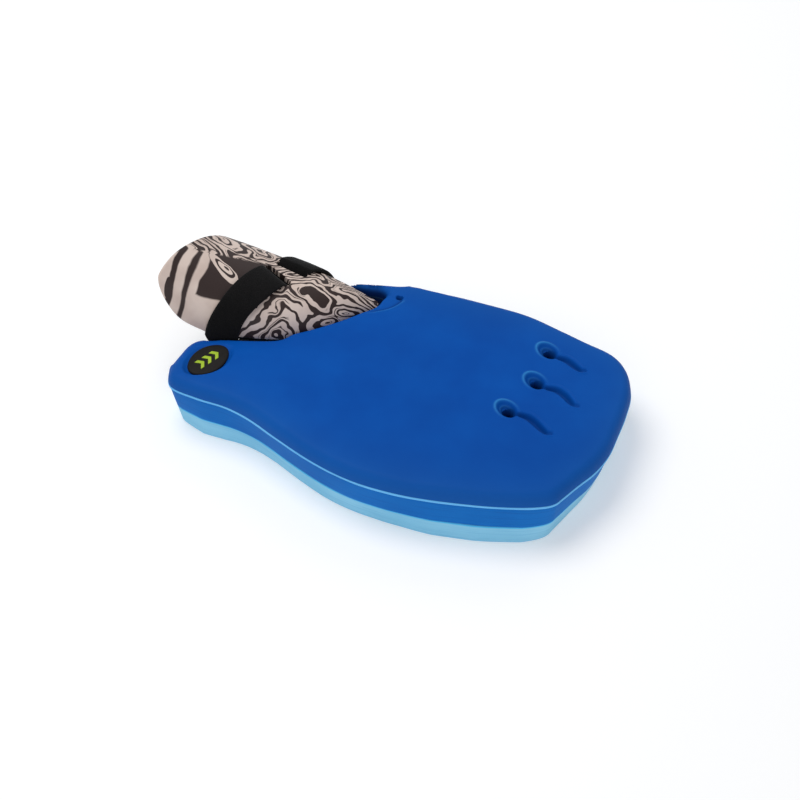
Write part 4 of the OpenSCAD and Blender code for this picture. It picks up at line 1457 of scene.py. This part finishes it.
def make_rivets(name, places, cap_radius, cap_z):
    """Rivets with a head under the loop, a shank, and a dished cap at cap_z."""
    low, cap_h = LOOP_TOP - LOOP_T - 1.3, 2.0
    head = [(0, 0), (1.8, 0.02), (3.6, 0.25), (4.6, 0.62), (5.0, 1.0), (5.0, 1.2), (2.0, 1.25)]
    cap = [
        (2.0, 0), (cap_radius - 0.1, 0), (cap_radius, 0.25), (cap_radius, cap_h * 0.55),
        (cap_radius - 0.4, cap_h * 0.85), (cap_radius - 1.2, cap_h),
        (1.5, cap_h), (1.1, cap_h * 0.6), (0, cap_h * 0.55),
    ]
    profile = [(r, low + z) for r, z in head] + [(r, cap_z + z) for r, z in cap]
    return joined(name, [lathe("rivet", profile, place, RIVET) for place in places])


# ---- patches on the thumb-side wall
def wall_patch(node, name, material):
    """Thin round-cornered patch standing on the wall, filling the CAD patch's box."""
    low, high = corners(node)
    loop = even_path(rounded_box(low[::2], high[::2], 2.0), 0.8)
    normal = inward_normals(loop, 1)
    rings = []
    for y, shrink in ((low[1], 0.25), (low[1] + 0.15, 0.0), (high[1] - 0.15, 0.0), (high[1], 0.25)):
        x, z = (loop + normal * shrink).T
        rings.append(np.column_stack([x, np.full(len(loop), y), z]))
    return sweep(name, rings, material, sharp_deg=50)


# ---- putting it together
def settle(piece, body, slot, *nodes):
    """Says which body a piece rides on, and hides the CAD nodes it stands for; slot is not used."""
    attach(piece, body)
    if nodes:
        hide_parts(*nodes)
    return piece


face = settle(make_face(), "board", "face_foam", "face_foam")
stripe = settle(make_stripe(), "board", "stripe_foam", "stripe_foam")
core = settle(make_core(), "board", "core_foam", "core_foam")
base = settle(make_base(), "board", "base_foam", "base_foam")
lining = settle(make_lining(), "board", "lining_fabric", "palm_lining")
settle(make_badge(), "board", "badge_rubber", "badge_plate")
chevrons = joined("badge_chevrons", [chevron(x) for x in (-7, 0, 7)])
settle(chevrons, "board", "emblem_print", "badge_emblem")

shell, liner = make_guard()
settle(shell, "wrist_guard", "marbled_foam", "wrist_guard_shell")
settle(liner, "wrist_guard", "guard_liner", "wrist_guard_liner")
settle(make_wrist_strap(), "wrist_guard", "strap_webbing", "wrist_strap")
patch = under_band("wrist_loop_pile", 3.22, 25, 0.75, (131, 170), LOOP_PILE)
settle(patch, "wrist_guard", "loop_pile", "wrist_strap_loop_patch")
hooks = under_band("wrist_hook_tape", 4.35, 23, 0.8, (133, 169), HOOKS)
settle(hooks, "wrist_strap_end", "hook_tape", "wrist_strap_hook_patch")
tab = under_band("wrist_strap_pull_tab", 5.85, 27, 2.1, (125, 172), PILE, 4)
settle(tab, "wrist_strap_end", "strap_webbing", "wrist_strap_tab")

for node, (turn, body) in LOOPS.items():
    settle(make_loop(node, PLACES[node], turn), body, "elastic_band", node)
rivets = make_rivets("finger_rivets", FINGERS, 3.8, STRIPE_TOP)
settle(rivets, "board", "rivet_plastic", "finger_loop_rivets")
thumb_rivet = make_rivets("thumb_rivet", [THUMB], 5.0, CEILING + 2.5)
settle(thumb_rivet, "board", "rivet_plastic", "thumb_loop_rivet")

hand_band = make_hand_strap()
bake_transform(hand_band)
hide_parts("hand_strap", "hand_strap_tab")
hand_pile = wall_patch("hand_strap_loop_patch", "hand_loop_pile", LOOP_PILE)
settle(hand_pile, "board", "loop_pile", "hand_strap_loop_patch")
hand_hooks = wall_patch("hand_strap_hook_patch", "hand_hook_tape", HOOKS)
settle(hand_hooks, "hand_strap_end", "hook_tape", "hand_strap_hook_patch")

hinge_band = make_hinge_strip()
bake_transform(hinge_band)
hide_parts("guard_hinge_strip")


# ---- floor, camera, lights
def make_floor():
    """Plain pale floor that glows a little, so it stays nearly white."""
    s = Shader("pale_floor")
    s.finish(
        (0.90, 0.90, 0.90, 1.0), 0.6, Specular_IOR_Level=0.1,
        Emission_Color=(1.0, 1.0, 1.0, 1.0), Emission_Strength=0.22
    )
    mesh = bpy.data.meshes.new("floor")
    half = 6
    mesh.from_pydata([(-half, -half, 0), (half, -half, 0), (half, half, 0), (-half, half, 0)], [], [(0, 1, 2, 3)])
    made = bpy.data.objects.new("floor", mesh)
    bpy.context.scene.collection.objects.link(made)
    mesh.materials.append(s.material)


def make_camera():
    """The photo's viewing angle: 45 degrees down, turned 20 degrees towards the wrist end."""
    azimuth, elevation, distance = math.radians(20), math.radians(45), 1.414
    target = Vector((0.019, -0.0135, 0.040))
    back = Vector((
        math.sin(azimuth) * math.cos(elevation), -math.cos(azimuth) * math.cos(elevation), math.sin(elevation)
    ))
    data = bpy.data.cameras.new("camera")
    data.lens = 81
    data.sensor_width = 36
    made = bpy.data.objects.new("camera", data)
    made.location = target + back * distance
    made.rotation_euler = back.to_track_quat("Z", "Y").to_euler()
    bpy.context.scene.collection.objects.link(made)
    bpy.context.scene.camera = made


def make_light(name, place, size, power):
    """Round soft light aimed at the middle of the object."""
    data = bpy.data.lights.new(name, "AREA")
    data.shape = "DISK"
    data.size = size
    data.energy = power
    made = bpy.data.objects.new(name, data)
    made.location = place
    made.rotation_euler = (Vector(place) - Vector((0, 0, 0.03))).to_track_quat("Z", "Y").to_euler()
    bpy.context.scene.collection.objects.link(made)


def make_world():
    world = bpy.data.worlds.new("studio")
    world.use_nodes = True
    background = world.node_tree.nodes["Background"]
    background.inputs["Color"].default_value = (0.95, 0.97, 1.0, 1.0)
    background.inputs["Strength"].default_value = 0.42
    bpy.context.scene.world = world


make_floor()
make_camera()
make_world()
make_light("key", (-0.6, 0.1, 1.6), 1.2, 14)
make_light("fill", (0.6, -1.7, 1.0), 1.6, 7)
make_light("back", (0.2, 1.6, 1.1), 1.4, 4)
bpy.context.scene.view_settings.view_transform = "Standard"
